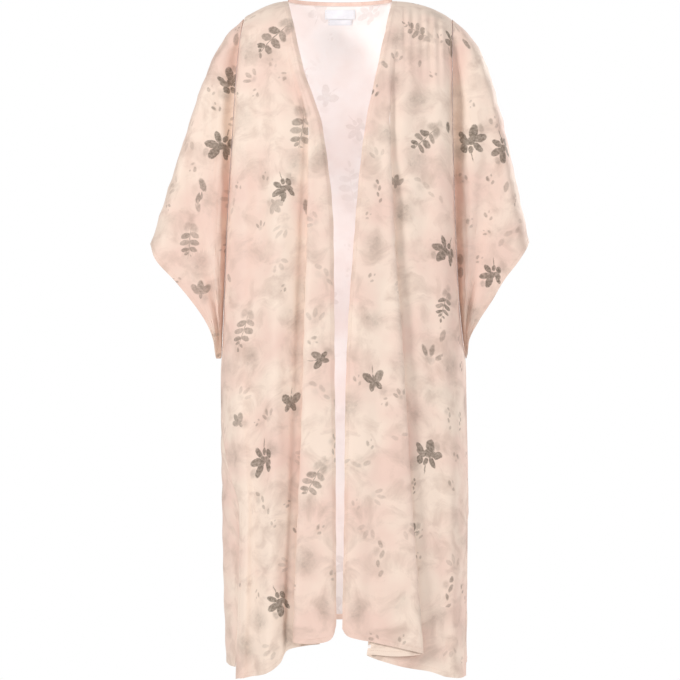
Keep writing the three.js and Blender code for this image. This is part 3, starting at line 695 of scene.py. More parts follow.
def sleeve_surface(side):
    """A sleeve folded over the arm: its rear half, the arm line and its front half."""
    spec = SLEEVES[side]
    sign = SIDES[side]["sign"]
    start = spec["arm"][0][1]

    def seam_at(w):
        drop = start + (SLEEVE_FOOT - start) * w
        out = through(ARMHOLES["drop"], ARMHOLES[side], drop) + ALLOWANCE_APART
        return np.stack([out, 0 * out, -drop], axis=-1)

    def flat(places):
        return [(out, 0, -drop) for out, drop in places]

    last = len(SLEEVE_COLUMNS) - 1
    s = np.interp(np.arange(last * SLEEVE_FINE + 1) / SLEEVE_FINE, range(last + 1), SLEEVE_COLUMNS)
    drops = row_drops(start, UNDERARM)
    drops = np.append(drops[drops < SLEEVE_FOOT - 1], SLEEVE_FOOT)
    w = (drops - start) / (SLEEVE_FOOT - start)
    arm = even_curve([tuple(seam_at(np.array(0.0)))] + flat(spec["arm"][1:]), s)
    cuff = even_curve(flat(spec["cuff"]), w)
    tip = even_curve(flat(spec["cuff"]), [0])[0]
    cuff_foot = even_curve(flat(spec["cuff"]), [1])[0]
    sc = s[None, :, None]
    wc = w[:, None, None]
    foot = seam_at(np.array(1.0)) * (1 - sc) + cuff_foot * sc
    top = seam_at(np.array(0.0)) * (1 - sc) + tip * sc
    across = seam_at(w)[:, None] * (1 - sc) + cuff[:, None] * sc
    down = arm[None] * (1 - wc) + foot * wc
    sheet = across + down - (top * (1 - wc) + foot * wc)
    hang = np.linalg.norm(sheet - arm[None], axis=2)
    halves = []
    for panel, facing in (("back", 1), ("front", -1)):
        seam_depth = through(ARMHOLES["drop"], ARMHOLES[panel], -sheet[:, :, 2])
        free_depth = SLEEVE_DEPTH * np.sqrt(np.maximum(0, 1 - w[:, None] ** SLEEVE_CLOSING))
        depth = seam_depth + (free_depth - seam_depth) * ease(s[None] / SLEEVE_SEAM_SHARE)
        relief = sum(out * bell((s - at) / wide) for at, wide, out in spec["folds"])
        strength = ease(w * SLEEVE_FOLDS["rise"]) * ease((1 - w) * SLEEVE_FOLDS["fall"])
        y = np.maximum(SLEEVE_EDGE, (depth + relief[None] * strength[:, None]) * rounded(hang))
        y[0] = 0
        half = sheet.copy()
        half[:, :, 0] *= sign
        half[:, :, 1] = facing * y
        halves.append(half)
    grid = np.concatenate([halves[0][:0:-1], halves[1]], axis=0)
    return end_at_seam(grid[:, ::-1])


def normals_of(grid):
    """Directions out of the cloth's right side, from a grid of points."""
    padded = np.concatenate([grid[:1], grid, grid[-1:]], axis=0)
    down = padded[2:] - padded[:-2]
    step = unit(np.diff(grid, axis=1))
    before = np.concatenate([step[:, :1], step], axis=1)
    after = np.concatenate([step, step[:, -1:]], axis=1)
    normal = unit(np.cross(down, before + after))
    outward = np.sum(normal[:, :, 1] * grid[:, :, 1])
    return normal if outward > 0 else -normal


def cloth_places(grid):
    """Flat places on the cloth: across from the first column and down from the first row."""
    step = np.linalg.norm(np.diff(grid, axis=1), axis=2)
    across = np.concatenate([np.zeros((len(grid), 1)), np.cumsum(step, axis=1)], axis=1)
    fall = np.linalg.norm(np.diff(grid, axis=0), axis=2)
    down = np.concatenate([np.zeros((1, grid.shape[1])), np.cumsum(fall, axis=0)], axis=0)
    return across, down


def sleeve_places(grid):
    """Flat places on a sleeve: its front as it is seen, and its rear half opened out over the arm line."""
    flat = np.stack([grid[:, :, 0], -grid[:, :, 2]], axis=-1)
    arm = len(grid) // 2
    line = flat[arm]
    along = unit(line[0] - line[-3])
    below = unit(np.array([-along[0] * along[1], along[0] ** 2]))
    hung = flat - line
    hung = hung + below * SLEEVE_OVER * rounded(np.linalg.norm(hung, axis=-1, keepdims=True))
    opened = 2 * np.sum(hung * along, axis=-1, keepdims=True) * along - hung
    places = line + np.where(np.arange(len(grid))[:, None, None] < arm, opened, hung)
    return places[:, :, 0], places[:, :, 1]


def rippled(grid, seam_ends, seed):
    """Soft crepe's slight waves, fading out at the seams."""
    across, down = cloth_places(grid)
    height = np.zeros(across.shape)
    for spacing, high, lean, shift in RIPPLES:
        wander = WANDER["wide"] * np.sin(down / WANDER["long"] + shift + seed)
        height += high * np.sin(2 * math.pi * (across + lean * down + wander) / spacing + shift * seed)
    fade = ease(down / RIPPLE_FADE["top"])
    if seam_ends[0]:
        fade = fade * ease(across / RIPPLE_FADE["seam"])
    if seam_ends[1]:
        fade = fade * ease((across[:, -1:] - across) / RIPPLE_FADE["seam"])
    return grid + normals_of(grid) * (height * fade)[:, :, None]


def motif_map(name, grid, across, down):
    """For each face's corners, its place in the square of the nearest motif, and the motif's shade."""
    kinds = list(MOTIFS)
    middle = (grid[:-1, :-1] + grid[1:, 1:]) / 2
    flat = np.stack([across, down], axis=-1)
    centre = (flat[:-1, :-1] + flat[1:, 1:]) / 2
    out = normals_of(grid)[:-1, :-1, 1]
    toward = np.sign((across[-1, -1] - across[-1, 0]) * (grid[-1, -1, 0] - grid[-1, 0, 0]))
    found = []
    corners = np.stack([flat[:-1, :-1], flat[1:, :-1], flat[1:, 1:], flat[:-1, 1:]], axis=2)
    for x, drop, kind, turn, size, shade in MOTIF_PLACES.get(name, []):
        away = np.hypot(middle[:, :, 0] - x, middle[:, :, 2] + drop) + np.where(out < FACES_BACK, 0, NEVER)
        away = away + (middle[:, :, 1] - middle[:, :, 1].min()) * LAYER_SHARE
        at = np.unravel_index(np.argmin(away), away.shape)
        found.append((centre[at], kind, math.radians(turn), size, shade))
    for motifs, step, seed, facing in SCATTER.get(name, []):
        found += scattered(motifs, step, seed, facing, middle, centre, found)
    best = np.full(centre.shape[:2], 1.0)
    place = np.zeros(centre.shape[:2] + (4, 2))
    place[...] = BLANK_PLACE
    for at, kind, turn, size, shade in found:
        size = size * PRINT_SIZE
        reach = MOTIFS[kind]["reach"] * size
        away = np.linalg.norm(centre - at, axis=-1) / reach
        mine = away < best
        best[mine] = away[mine]
        local = (corners[mine] - at) / size
        east = local[..., 0] * toward
        north = -local[..., 1]
        place[mine, :, 0] = east * math.cos(turn) + north * math.sin(turn) + kinds.index(kind) * MOTIF_STEP
        place[mine, :, 1] = north * math.cos(turn) - east * math.sin(turn) + shade * MOTIF_STEP
    return place


def scattered(motifs, step, seed, facing, middle, centre, taken):
    """Motifs on an uneven lattice, on the faces that look to the front, -1, or to the back, 1."""
    dice = random.Random(seed)
    low, high = centre.min(axis=(0, 1)), centre.max(axis=(0, 1))
    found = []
    rows, columns = ((high - low)[::-1] / step).astype(int) + 1
    for row in range(rows):
        for column in range(columns):
            across = column + 0.5 * (row % 2) + dice.uniform(*SCATTERED["uneven"])
            uneven = np.array([across, row + dice.uniform(*SCATTERED["uneven"])])
            kind, shade = dice.choice(motifs)
            turn = math.radians(dice.uniform(-180, 180))
            size = dice.uniform(*SCATTERED["sizes"])
            at = low + uneven * step
            away = np.linalg.norm(centre - at, axis=-1)
            nearest = np.unravel_index(np.argmin(away), away.shape)
            others = [(place, MOTIFS[other]["reach"] * wide) for place, other, _, wide, _ in taken + found]
            reach = MOTIFS[kind]["reach"]
            apart = SCATTERED["apart"]
            free = all(np.linalg.norm(at - place) > apart * (reach + far) for place, far in others)
            on_side = middle[nearest][1] * facing > SCATTERED["arm_line"]
            if away[nearest] < SCATTERED["edge"] and on_side and free:
                found.append((centre[nearest], kind, turn, size, shade))
    return found


def set_smooth(mesh, angle=55):
    """Smooth faces, with sharp edges where the surface turns by more than an angle."""
    mesh.polygons.foreach_set("use_smooth", np.ones(len(mesh.polygons), bool))
    mesh.set_sharp_from_angle(angle=math.radians(angle))


def new_object(name, vertices, faces, materials):
    """A piece from its points and faces."""
    mesh = bpy.data.meshes.new(name)
    mesh.from_pydata(vertices, [], faces)
    piece = bpy.data.objects.new(name, mesh)
    bpy.context.scene.collection.objects.link(piece)
    for material in materials:
        mesh.materials.append(material)
    return piece


def cloth_piece(name, grid, hem_away, materials, thick=None, places=None, print_place=None):
    """A thin closed shell on a grid of points: right side, wrong side and edges."""
    rows, cols = grid.shape[:2]
    normal = normals_of(grid)
    if thick is None:
        turned = ease((HEM_WIDE + HEM_STEP / 2 - hem_away) / HEM_STEP)
        thick = CREPE_THICK + (HEM_THICK - CREPE_THICK) * turned
    half = np.broadcast_to(np.asarray(thick, float), (rows, cols))[:, :, None] / 2
    points = np.concatenate([(grid + normal * half).reshape(-1, 3), (grid - normal * half).reshape(-1, 3)])
    index = np.arange(rows * cols).reshape(rows, cols)
    quads = np.stack([index[:-1, :-1], index[1:, :-1], index[1:, 1:], index[:-1, 1:]], axis=-1).reshape(-1, 4)
    edge = np.concatenate([index[:, 0], index[-1, 1:], index[-2::-1, -1], index[0, -2:0:-1]])
    following = np.roll(edge, -1)
    inner = rows * cols
    rim = np.stack([edge, edge + inner, following + inner, following], axis=-1)
    corner, second, third = (points[quads[:, i]] for i in range(3))
    flip = np.sum(np.cross(second - corner, third - corner) * normal.reshape(-1, 3)[quads[:, 0]]) < 0
    faces = np.concatenate([quads, quads[:, ::-1] + inner, rim])
    if flip:
        faces = faces[:, ::-1]
    piece = new_object(name, (points * MM).tolist(), faces.tolist(), materials)
    mesh = piece.data
    slots = np.zeros(len(faces), int)
    slots[len(quads):2 * len(quads)] = len(materials) - 1
    turned_in = hem_away.reshape(-1)[quads].mean(axis=1) < HEM_WIDE
    slots[len(quads):2 * len(quads)][turned_in] = 0
    mesh.polygons.foreach_set("material_index", slots)
    corners = faces.reshape(-1) % inner
    across, down = places or cloth_places(grid)
    flat = np.stack([across.reshape(-1), down.reshape(-1)], axis=1)[corners] * MM
    mesh.uv_layers.new(name="cloth").data.foreach_set("uv", flat.astype(np.float32).reshape(-1))
    away = mesh.attributes.new("hem_away", "FLOAT", "POINT")
    away.data.foreach_set("value", np.tile(hem_away.reshape(-1), 2).astype(np.float32))
    if print_place is not None:
        faced = print_place.reshape(-1, 4, 2)
        blank = np.full((len(rim), 4, 2), BLANK_PLACE, float)
        behind = np.where(turned_in[:, None, None], BLANK_PLACE, faced[:, ::-1])
        both = np.concatenate([faced, behind, blank])
        if flip:
            both = both[:, ::-1]
        mesh.uv_layers.new(name="motif").data.foreach_set("uv", (both * MM).astype(np.float32).reshape(-1))
    set_smooth(mesh)
    return piece


def hem_distance(grid, hems):
    """How far each point lies from its panel's turned hems."""
    lines = {
        "first": grid[:, 0],
        "foot": grid[-1],
        "last slit": grid[SLIT_ROW:, -1],
        "first slit": grid[SLIT_ROW:, 0],
    }
    away = np.full(grid.shape[:2], FAR_FROM_HEM)
    for hem in hems:
        for point in lines[hem]:
            away = np.minimum(away, np.linalg.norm(grid - point, axis=2))
    return away


def add(tree, kind, links=None, **settings):
    """A node with its settings, and links or values for its inputs."""
    node = tree.nodes.new(kind)
    for key, value in settings.items():
        setattr(node, key, value)
    for key, value in (links or {}).items():
        if isinstance(value, bpy.types.NodeSocket):
            tree.links.new(value, node.inputs[key])
        else:
            node.inputs[key].default_value = value
    return node


def colour(text):
    """Linear colour from sRGB hex."""
    parts = [int(text[i : i + 2], 16) / 255 for i in (0, 2, 4)]
    return [p / 12.92 if p <= 0.04045 else ((p + 0.055) / 1.055) ** 2.4 for p in parts] + [1]


def per_metre(size):
    """The texture scale that draws a pattern at its size in millimetres."""
    return 1 / (size * MM)


def petal_group():
    """A soft-edged petal: 1 inside, 0 outside."""
    tree = bpy.data.node_groups.new("petal", "ShaderNodeTree")
    for name, kind in (("Place", "Vector"), ("Centre", "Vector"), ("Size", "Vector"), ("Turn", "Float"),
                       ("Soft", "Float"), ("Strength", "Float")):
        tree.interface.new_socket(name, in_out="INPUT", socket_type=f"NodeSocket{kind}")
    tree.interface.new_socket("Mask", in_out="OUTPUT", socket_type="NodeSocketFloat")
    given = add(tree, "NodeGroupInput").outputs
    from_centre = add(tree, "ShaderNodeVectorMath", {0: given["Place"], 1: given["Centre"]},
                      operation="SUBTRACT")
    turned = add(tree, "ShaderNodeVectorRotate", {"Vector": from_centre.outputs[0], "Angle": given["Turn"]},
                 rotation_type="Z_AXIS")
    scaled = add(tree, "ShaderNodeVectorMath", {0: turned.outputs[0], 1: given["Size"]}, operation="DIVIDE")
    away = add(tree, "ShaderNodeVectorMath", {0: scaled.outputs[0]}, operation="LENGTH")
    inside = add(tree, "ShaderNodeMath", {0: 1.0, 1: given["Soft"]}, operation="SUBTRACT")
    outside = add(tree, "ShaderNodeMath", {0: 1.0, 1: given["Soft"]}, operation="ADD")
    edge = add(tree, "ShaderNodeMapRange", {
        "Value": away.outputs["Value"], "From Min": outside.outputs[0], "From Max": inside.outputs[0],
        "To Min": 0.0, "To Max": given["Strength"]}, interpolation_type="SMOOTHSTEP")
    add(tree, "NodeGroupOutput", {"Mask": edge.outputs[0]})
    return tree


def crepe(name, light, pink, shadow, ink, ink_strength, mottle):
    """Soft printed crepe: a pebbly matt weave of twisted threads with a slight silky sheen.
    The dyed ground drifts from cream to pink like watercolour, under a pale grey-brown leaf print."""
    material = bpy.data.materials.new(name)
    material.use_nodes = True
    tree = material.node_tree
    shader = tree.nodes["Principled BSDF"]
    cloth = add(tree, "ShaderNodeUVMap", uv_map="cloth").outputs[0]
    drift = add(tree, "ShaderNodeTexNoise", {
        "Vector": cloth, "Scale": per_metre(DRIFT), "Detail": 3.0, "Roughness": 0.55})
    cloud = add(tree, "ShaderNodeTexNoise", {
        "Vector": cloth, "Scale": per_metre(CLOUD), "Detail": 5.0, "Roughness": 0.6, "Distortion": 0.6})
    warm = add(tree, "ShaderNodeMapRange", {"Value": drift.outputs[0], "From Min": 0.42, "From Max": 0.6})
    ground = add(tree, "ShaderNodeMix", {"Factor": warm.outputs[0], A: colour(light), B: colour(pink)},
                 data_type="RGBA")
    stain = add(tree, "ShaderNodeMapRange", {"Value": cloud.outputs[0], "From Min": 0.47, "From Max": 0.76,
                                             "To Max": mottle})
    stained = add(tree, "ShaderNodeMix", {
        "Factor": stain.outputs[0], A: ground.outputs[RESULT], B: colour(shadow)}, data_type="RGBA")

    motif = add(tree, "ShaderNodeSeparateXYZ", {0: add(tree, "ShaderNodeUVMap", uv_map="motif").outputs[0]})
    up = add(tree, "ShaderNodeMath", {0: motif.outputs["Y"], 1: 1 / (MOTIF_STEP * MM)}, operation="MULTIPLY")
    shade = add(tree, "ShaderNodeMath", {0: up.outputs[0]}, operation="ROUND")
    local = add(tree, "ShaderNodeMath", {0: up.outputs[0], 1: shade.outputs[0]}, operation="SUBTRACT")
    x = add(tree, "ShaderNodeMath", {0: motif.outputs["X"], 1: 1 / MM}, operation="MULTIPLY")
    y = add(tree, "ShaderNodeMath", {0: local.outputs[0], 1: MOTIF_STEP}, operation="MULTIPLY")
    place = add(tree, "ShaderNodeCombineXYZ", {"X": x.outputs[0], "Y": y.outputs[0]})
    wobble = add(tree, "ShaderNodeTexNoise", {
        "Vector": cloth, "Scale": per_metre(WOBBLE), "Detail": 4.0, "Roughness": 0.6})
    veined = add(tree, "ShaderNodeTexNoise", {
        "Vector": cloth, "Scale": per_metre(STREAK), "Detail": 4.0, "Roughness": 0.7})
    bent = add(tree, "ShaderNodeVectorMath", {
        0: wobble.outputs["Color"], 1: (EDGE_WOBBLE, EDGE_WOBBLE, 0), 2: place.outputs[0]},
        operation="MULTIPLY_ADD")
    centred = add(tree, "ShaderNodeVectorMath", {
        0: bent.outputs[0], 1: (EDGE_WOBBLE / 2, EDGE_WOBBLE / 2, 0)}, operation="SUBTRACT")
    mask = 0.0
    for number, spec in enumerate(MOTIFS.values()):
        for px, py, wide, tall, turn, soft, strength in spec["petals"]:
            petal = add(tree, "ShaderNodeGroup", node_tree=PETAL)
            petal.inputs["Centre"].default_value = (px + number * MOTIF_STEP, py, 0)
            petal.inputs["Size"].default_value = (wide, tall, 1)
            petal.inputs["Turn"].default_value = math.radians(-turn)
            petal.inputs["Soft"].default_value = soft
            petal.inputs["Strength"].default_value = strength
            tree.links.new(centred.outputs[0], petal.inputs["Place"])
            both = add(tree, "ShaderNodeMath", {0: mask, 1: petal.outputs[0]}, operation="MAXIMUM")
            mask = both.outputs[0]
    depth = add(tree, "ShaderNodeMapRange", {
        "Value": shade.outputs[0], "From Min": 0.0, "From Max": SHADES - 1.0,
        "To Min": 0.3 * ink_strength, "To Max": ink_strength})
    streak = add(tree, "ShaderNodeMapRange", {"Value": veined.outputs[0], "From Min": 0.32, "From Max": 0.6,
                                              "To Min": 0.55, "To Max": 1.0})
    printed = add(tree, "ShaderNodeMath", {0: mask, 1: depth.outputs[0]}, operation="MULTIPLY")
    uneven = add(tree, "ShaderNodeMath", {0: printed.outputs[0], 1: streak.outputs[0]}, operation="MULTIPLY")
    inked = add(tree, "ShaderNodeMix", {
        "Factor": uneven.outputs[0], A: stained.outputs[RESULT], B: colour(ink)}, data_type="RGBA")
    tree.links.new(inked.outputs[RESULT], shader.inputs["Base Color"])

    pebble = add(tree, "ShaderNodeTexNoise", {
        "Vector": cloth, "Scale": per_metre(PEBBLE), "Detail": 2.0, "Roughness": 0.6})
    crinkle = add(tree, "ShaderNodeTexNoise", {
        "Vector": cloth, "Scale": per_metre(CRINKLE), "Detail": 3.0, "Roughness": 0.5})
    weave = add(tree, "ShaderNodeMath", {0: crinkle.outputs[0], 1: 1.4, 2: pebble.outputs[0]},
                operation="MULTIPLY_ADD")
    away = add(tree, "ShaderNodeAttribute", attribute_name="hem_away")
    fold_line = add(tree, "ShaderNodeMapRange", {"Value": away.outputs["Fac"], "From Min": HEM_WIDE - 1,
                                                 "From Max": HEM_WIDE + 1, "To Min": 1.0, "To Max": 0.0})
    relief = add(tree, "ShaderNodeMath", {0: fold_line.outputs[0], 1: 0.8, 2: weave.outputs[0]},
                 operation="MULTIPLY_ADD")
    bump = add(tree, "ShaderNodeBump", {"Height": relief.outputs[0], "Strength": 0.35, "Distance": 0.6 * MM})
    tree.links.new(bump.outputs[0], shader.inputs["Normal"])
    rough = add(tree, "ShaderNodeMapRange", {"Value": pebble.outputs[0], "To Min": 0.56, "To Max": 0.74})
    tree.links.new(rough.outputs[0], shader.inputs["Roughness"])
    shader.inputs["Sheen Weight"].default_value = 0.12
    shader.inputs["Sheen Roughness"].default_value = 0.45
    shader.inputs["Specular IOR Level"].default_value = 0.3
    return material


def plain_weave(name, base, gap_shade_and_patch, spacing, rough, sheen):
    """A plain woven trim: crossing threads, a little darker between them, where shade is painted into the
    colour.
    Its real threads are about 0.3 mm apart. They are drawn at a coarser spacing, so that they show."""
    material = bpy.data.materials.new(name)
    material.use_nodes = True
    tree = material.node_tree
    shader = tree.nodes["Principled BSDF"]
    cloth = add(tree, "ShaderNodeUVMap", uv_map="cloth").outputs[0]
    threads = per_metre(spacing) / WAVE_TURNS
    warp = add(tree, "ShaderNodeTexWave", {"Vector": cloth, "Scale": threads}, bands_direction="X")
    weft = add(tree, "ShaderNodeTexWave", {"Vector": cloth, "Scale": threads}, bands_direction="Y")
    crossed = add(tree, "ShaderNodeMath", {0: warp.outputs["Fac"], 1: weft.outputs["Fac"]},
                  operation="MULTIPLY")
    patch = add(tree, "ShaderNodeTexNoise", {"Vector": cloth, "Scale": per_metre(PATCH), "Detail": 3.0})
    # Painted shade: the colour turns darker in the dips between the threads, and also in random patches of
    # the trim's own uneven tone
    blend = add(tree, "ShaderNodeMath", {0: crossed.outputs[0], 1: 0.3, 2: patch.outputs[0]},
                operation="MULTIPLY_ADD")
    tint = add(tree, "ShaderNodeMapRange", {"Value": blend.outputs[0], "From Min": 0.35, "From Max": 0.85})
    shown = add(tree, "ShaderNodeMix", {"Factor": tint.outputs[0], A: colour(gap_shade_and_patch), B: colour(base)},
                data_type="RGBA")
    tree.links.new(shown.outputs[RESULT], shader.inputs["Base Color"])
    bump = add(tree, "ShaderNodeBump", {"Height": crossed.outputs[0], "Strength": 0.3, "Distance": 0.3 * MM})
    tree.links.new(bump.outputs[0], shader.inputs["Normal"])
    shader.inputs["Roughness"].default_value = rough
    shader.inputs["Sheen Weight"].default_value = sheen
    shader.inputs["Sheen Roughness"].default_value = 0.4
    shader.inputs["Specular IOR Level"].default_value = 0.35
    return material


def stitch_tree(thread):
    """Short stitches of thread along a line, each a small rounded capsule."""
    tree = bpy.data.node_groups.new("stitches along a line", "GeometryNodeTree")
    tree.interface.new_socket("Geometry", in_out="INPUT", socket_type="NodeSocketGeometry")
    for name in ("Step", "Length", "Thickness"):
        tree.interface.new_socket(name, in_out="INPUT", socket_type="NodeSocketFloat")
    tree.interface.new_socket("Geometry", in_out="OUTPUT", socket_type="NodeSocketGeometry")
    given = add(tree, "NodeGroupInput").outputs
    line = add(tree, "GeometryNodeMeshToCurve", {"Mesh": given["Geometry"]})
    places = add(tree, "GeometryNodeResampleCurve", {"Curve": line.outputs[0], "Length": given["Step"]},
                 mode="LENGTH")
    ball = add(tree, "GeometryNodeMeshIcoSphere", {"Radius": 0.5, "Subdivisions": 1})
    size = add(tree, "ShaderNodeCombineXYZ", {
        "X": given["Thickness"], "Y": given["Thickness"], "Z": given["Length"]})
    along = add(tree, "FunctionNodeAlignRotationToVector",
                {"Vector": add(tree, "GeometryNodeInputTangent").outputs[0]}, axis="Z")
    copies = add(tree, "GeometryNodeInstanceOnPoints", {
        "Points": places.outputs[0], "Instance": ball.outputs[0], "Rotation": along.outputs[0],
        "Scale": size.outputs[0]})
    real = add(tree, "GeometryNodeRealizeInstances", {"Geometry": copies.outputs[0]})
    dressed = add(tree, "GeometryNodeSetMaterial", {"Geometry": real.outputs[0], "Material": thread})
    add(tree, "NodeGroupOutput", {"Geometry": dressed.outputs[0]})
    return tree


def stitches(name, lines, tree):
    """One mesh of all the stitches along some lines of points."""
    vertices = []
    edges = []
    for line in lines:
        start = len(vertices)
        vertices += (np.asarray(line) * MM).tolist()
        edges += [(start + i, start + i + 1) for i in range(len(line) - 1)]
    mesh = bpy.data.meshes.new(name + "_lines")
    mesh.from_pydata(vertices, edges, [])
    guide = bpy.data.objects.new(name + "_lines", mesh)
    bpy.context.scene.collection.objects.link(guide)
    modifier = guide.modifiers.new("stitches", "NODES")
    modifier.node_group = tree
    sizes = {"Step": STITCH_STEP, "Length": STITCH_LONG, "Thickness": STITCH_ROUND * 2}
    for item in tree.interface.items_tree:
        if item.in_out == "INPUT" and item.name in sizes:
            modifier[item.identifier] = sizes[item.name] * MM
    bpy.context.view_layer.update()
    shown = guide.evaluated_get(bpy.context.evaluated_depsgraph_get())
    result = bpy.data.meshes.new_from_object(shown)
    result.name = name
    piece = bpy.data.objects.new(name, result)
    bpy.context.scene.collection.objects.link(piece)
    bpy.data.objects.remove(guide)
    set_smooth(result, 180)
    return piece


def lines_inside(grid, hems, inside, facing):
    """Lines on one side of a panel, a set distance in from its hems."""
    across, down = cloth_places(grid)
    lifted = grid + normals_of(grid) * (HEM_THICK / 2 + STITCH_LIFT) * facing
    found = []
    for hem, start, stop in hems:
        line = []
        if hem in ("first", "last"):
            for r in range(start, stop):
                reach = across[r] if hem == "first" else across[r, -1] - across[r]
                order = slice(None) if hem == "first" else slice(None, None, -1)
                line.append([np.interp(inside, reach[order], lifted[r, order, i]) for i in range(3)])
        else:
            for c in range(start, stop):
                reach = (down[-1, c] - down[:, c])[::-1]
                line.append([np.interp(inside, reach, lifted[::-1, c, i]) for i in range(3)])
        found.append(line)
    return found


# Materials, named for the cloths: the crepe is matt and pebbly, and paler on its wrong side.
# The binding is plain crepe, the satin is smooth and catches more light, and the thread is matt.
PETAL = petal_group()
crepe_face = crepe(
    "printed crepe, right side", light="f9e5d6", pink="f2d4c7", shadow="c9b0a2", ink="665b4e",
    ink_strength=0.88, mottle=0.75)
crepe_back = crepe(
    "printed crepe, wrong side", light="fffaf9", pink="fcf1ee", shadow="f0e2de", ink="b9a8a0",
    ink_strength=0.24, mottle=0.3)
binding_crepe = plain_weave("folded crepe binding", "f6ddd2", "e6c2b4", spacing=0.98, rough=0.66, sheen=0.1)
label_satin = plain_weave("blank woven satin", "fafbff", "e9ebf2", spacing=0.75, rough=0.38, sheen=0.05)
sewing_thread = plain_weave("sewing thread", "f1d9cc", "dcbcac", spacing=0.63, rough=0.5, sheen=0.1)
stitch_maker = stitch_tree(sewing_thread)

RIGHT_SIDE_OUT = [crepe_face, crepe_back]

# The panels: points, hems and where each ends in a seam
grids = {"back": rippled(back_surface(), (True, True), 1)}
for side, seed in (("right", 2), ("left", 3)):
    grids[f"front_{side}"] = rippled(front_surface(side), (False, True), seed)
    grids[f"sleeve_{side}"] = rippled(sleeve_surface(side), (False, True), seed + 2)

hems = {
    "back": hem_distance(grids["back"], ["foot", "first slit", "last slit"]),
    "front_right": hem_distance(grids["front_right"], ["first", "foot", "last slit"]),
    "front_left": hem_distance(grids["front_left"], ["first", "foot", "last slit"]),
    "sleeve_right": hem_distance(grids["sleeve_right"], ["first"]),
    "sleeve_left": hem_distance(grids["sleeve_left"], ["first"]),
}
last_row = len(grids["back"])
stitch_hems = {
    "back": [
        ("foot", STITCH_FREE["back_foot"], grids["back"].shape[1] - STITCH_FREE["back_foot"]),
        ("first", SLIT_ROW, last_row - STITCH_FREE["back_slit"]),
        ("last", SLIT_ROW, last_row - STITCH_FREE["back_slit"]),
    ],
}
for side in ("right", "left"):
    cuff_rows = len(grids[f"sleeve_{side}"])
    columns = grids[f"front_{side}"].shape[1]
    stitch_hems[f"sleeve_{side}"] = [("first", STITCH_FREE["cuff"], cuff_rows - STITCH_FREE["cuff"])]
    stitch_hems[f"front_{side}"] = [
        ("first", STITCH_FREE["front_top"], last_row - STITCH_FREE["front_hem"]),
        ("foot", STITCH_FREE["front_foot"], columns - STITCH_FREE["front_foot"]),
        ("last", SLIT_ROW, last_row - STITCH_FREE["front_hem"]),
    ]

for name, grid in grids.items():
    places = sleeve_places(grid) if name.startswith("sleeve") else cloth_places(grid)
    if name == "back":
        middle = places[0][:, grid.shape[1] // 2, None]
        places = (places[0] - middle, places[1])
    print_place = motif_map(name, grid, *places)
    piece = cloth_piece(name + "_cloth", grid, hems[name], RIGHT_SIDE_OUT,
                        places=places, print_place=print_place)
    outside = lines_inside(grid, stitch_hems[name], STITCH_INSIDE, 1)
    inside = lines_inside(grid, stitch_hems[name], STITCH_INSIDE, -1)
    sewn = stitches(name + "_hem_stitches", outside + inside, stitch_maker)
    for thing in (piece, sewn):
        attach(thing, "root")
    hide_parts(name)


def binding_points():
    """The binding stands on the back neckline: a strip folded over, up its outside and down its inside."""
    turn = np.linspace(BINDING_END, math.pi - BINDING_END, BINDING_COLUMNS)[:, None]
    bend = np.linspace(-math.pi / 2, math.pi / 2, BINDING_ROWS["fold"])
    flat_side = np.linspace(0, BINDING_FLAT, BINDING_ROWS["flat"]) * BINDING_TALL
    over = BINDING_TALL * (1 - BINDING_FOLD + BINDING_FOLD * np.cos(bend))
    up = np.concatenate([flat_side, over, flat_side[::-1]])
    ones = np.ones(BINDING_ROWS["flat"])
    aside = np.concatenate([ones, -np.sin(bend), -ones]) * BINDING_HALF
    away = aside - BINDING_LEAN * up / BINDING_TALL
    x = -NECK_HALF * np.cos(turn)
    y = neck_scoop(x)
    out = unit(np.stack([x / NECK_HALF**2, y / NECK_SCOOP**2], axis=-1))
    z = NECK_RISE + BINDING_FOOT + up[None, :] + 0 * x
    return np.stack([x + out[..., 0] * away, y + out[..., 1] * away, z], axis=-1)


binding_grid = binding_points()
no_hem = np.full(binding_grid.shape[:2], FAR_FROM_HEM)
binding = cloth_piece("neck_binding_cloth", binding_grid, no_hem, [binding_crepe], thick=BINDING_THICK)
binding_line = binding_grid[2:-2, 1] + [0, BINDING_THICK, 0]
binding_sewn = stitches("neck_binding_stitches", [binding_line], stitch_maker)
for thing in (binding, binding_sewn):
    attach(thing, "root")
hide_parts("neck_binding")


def label_points(spec):
    """A label on the inside of the back, which follows the back's own form."""
    x = np.linspace(-spec["wide"] / 2, spec["wide"] / 2, LABEL_COLUMNS + 1)[None, :]
    below = (spec["top"] + spec["tall"] * np.linspace(0, 1, LABEL_ROWS + 1))[:, None]

    def surface(at_x, at_below):
        drop = at_below - NECK_RISE + 0 * at_x
        across = at_x + 0 * at_below
        half = np.where(across < 0, section("right", drop), section("left", drop))
        angle = np.sign(across) * np.arcsin(np.clip(np.abs(across) / half, 0, 1) ** (SQUARENESS / 2))
        return back_point(angle, drop, -NECK_RISE, neck_scoop(across))

    here = surface(x, below)
    aside = surface(x + 1, below) - surface(x - 1, below)
    down = surface(x, below + 1) - surface(x, below - 1)
    inward = unit(np.cross(aside, down))
    inward = np.where(inward[:, :, 1:2] > 0, -inward, inward)
    return here + inward * LABEL_INSIDE


for name, spec in LABELS.items():
    grid = label_points(spec)
    no_hem = np.full(grid.shape[:2], FAR_FROM_HEM)
    piece = cloth_piece(name + "_cloth", grid, no_hem, [label_satin], thick=spec["thick"])
    lifted = grid - normals_of(grid) * LABEL_STITCH_OUT
    ends = [lifted[1:-1, 1], lifted[1:-1, -2]]
    sewn = stitches(name + "_stitches", ends, stitch_maker)
    for thing in (piece, sewn):
        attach(thing, "root")
    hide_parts(name)

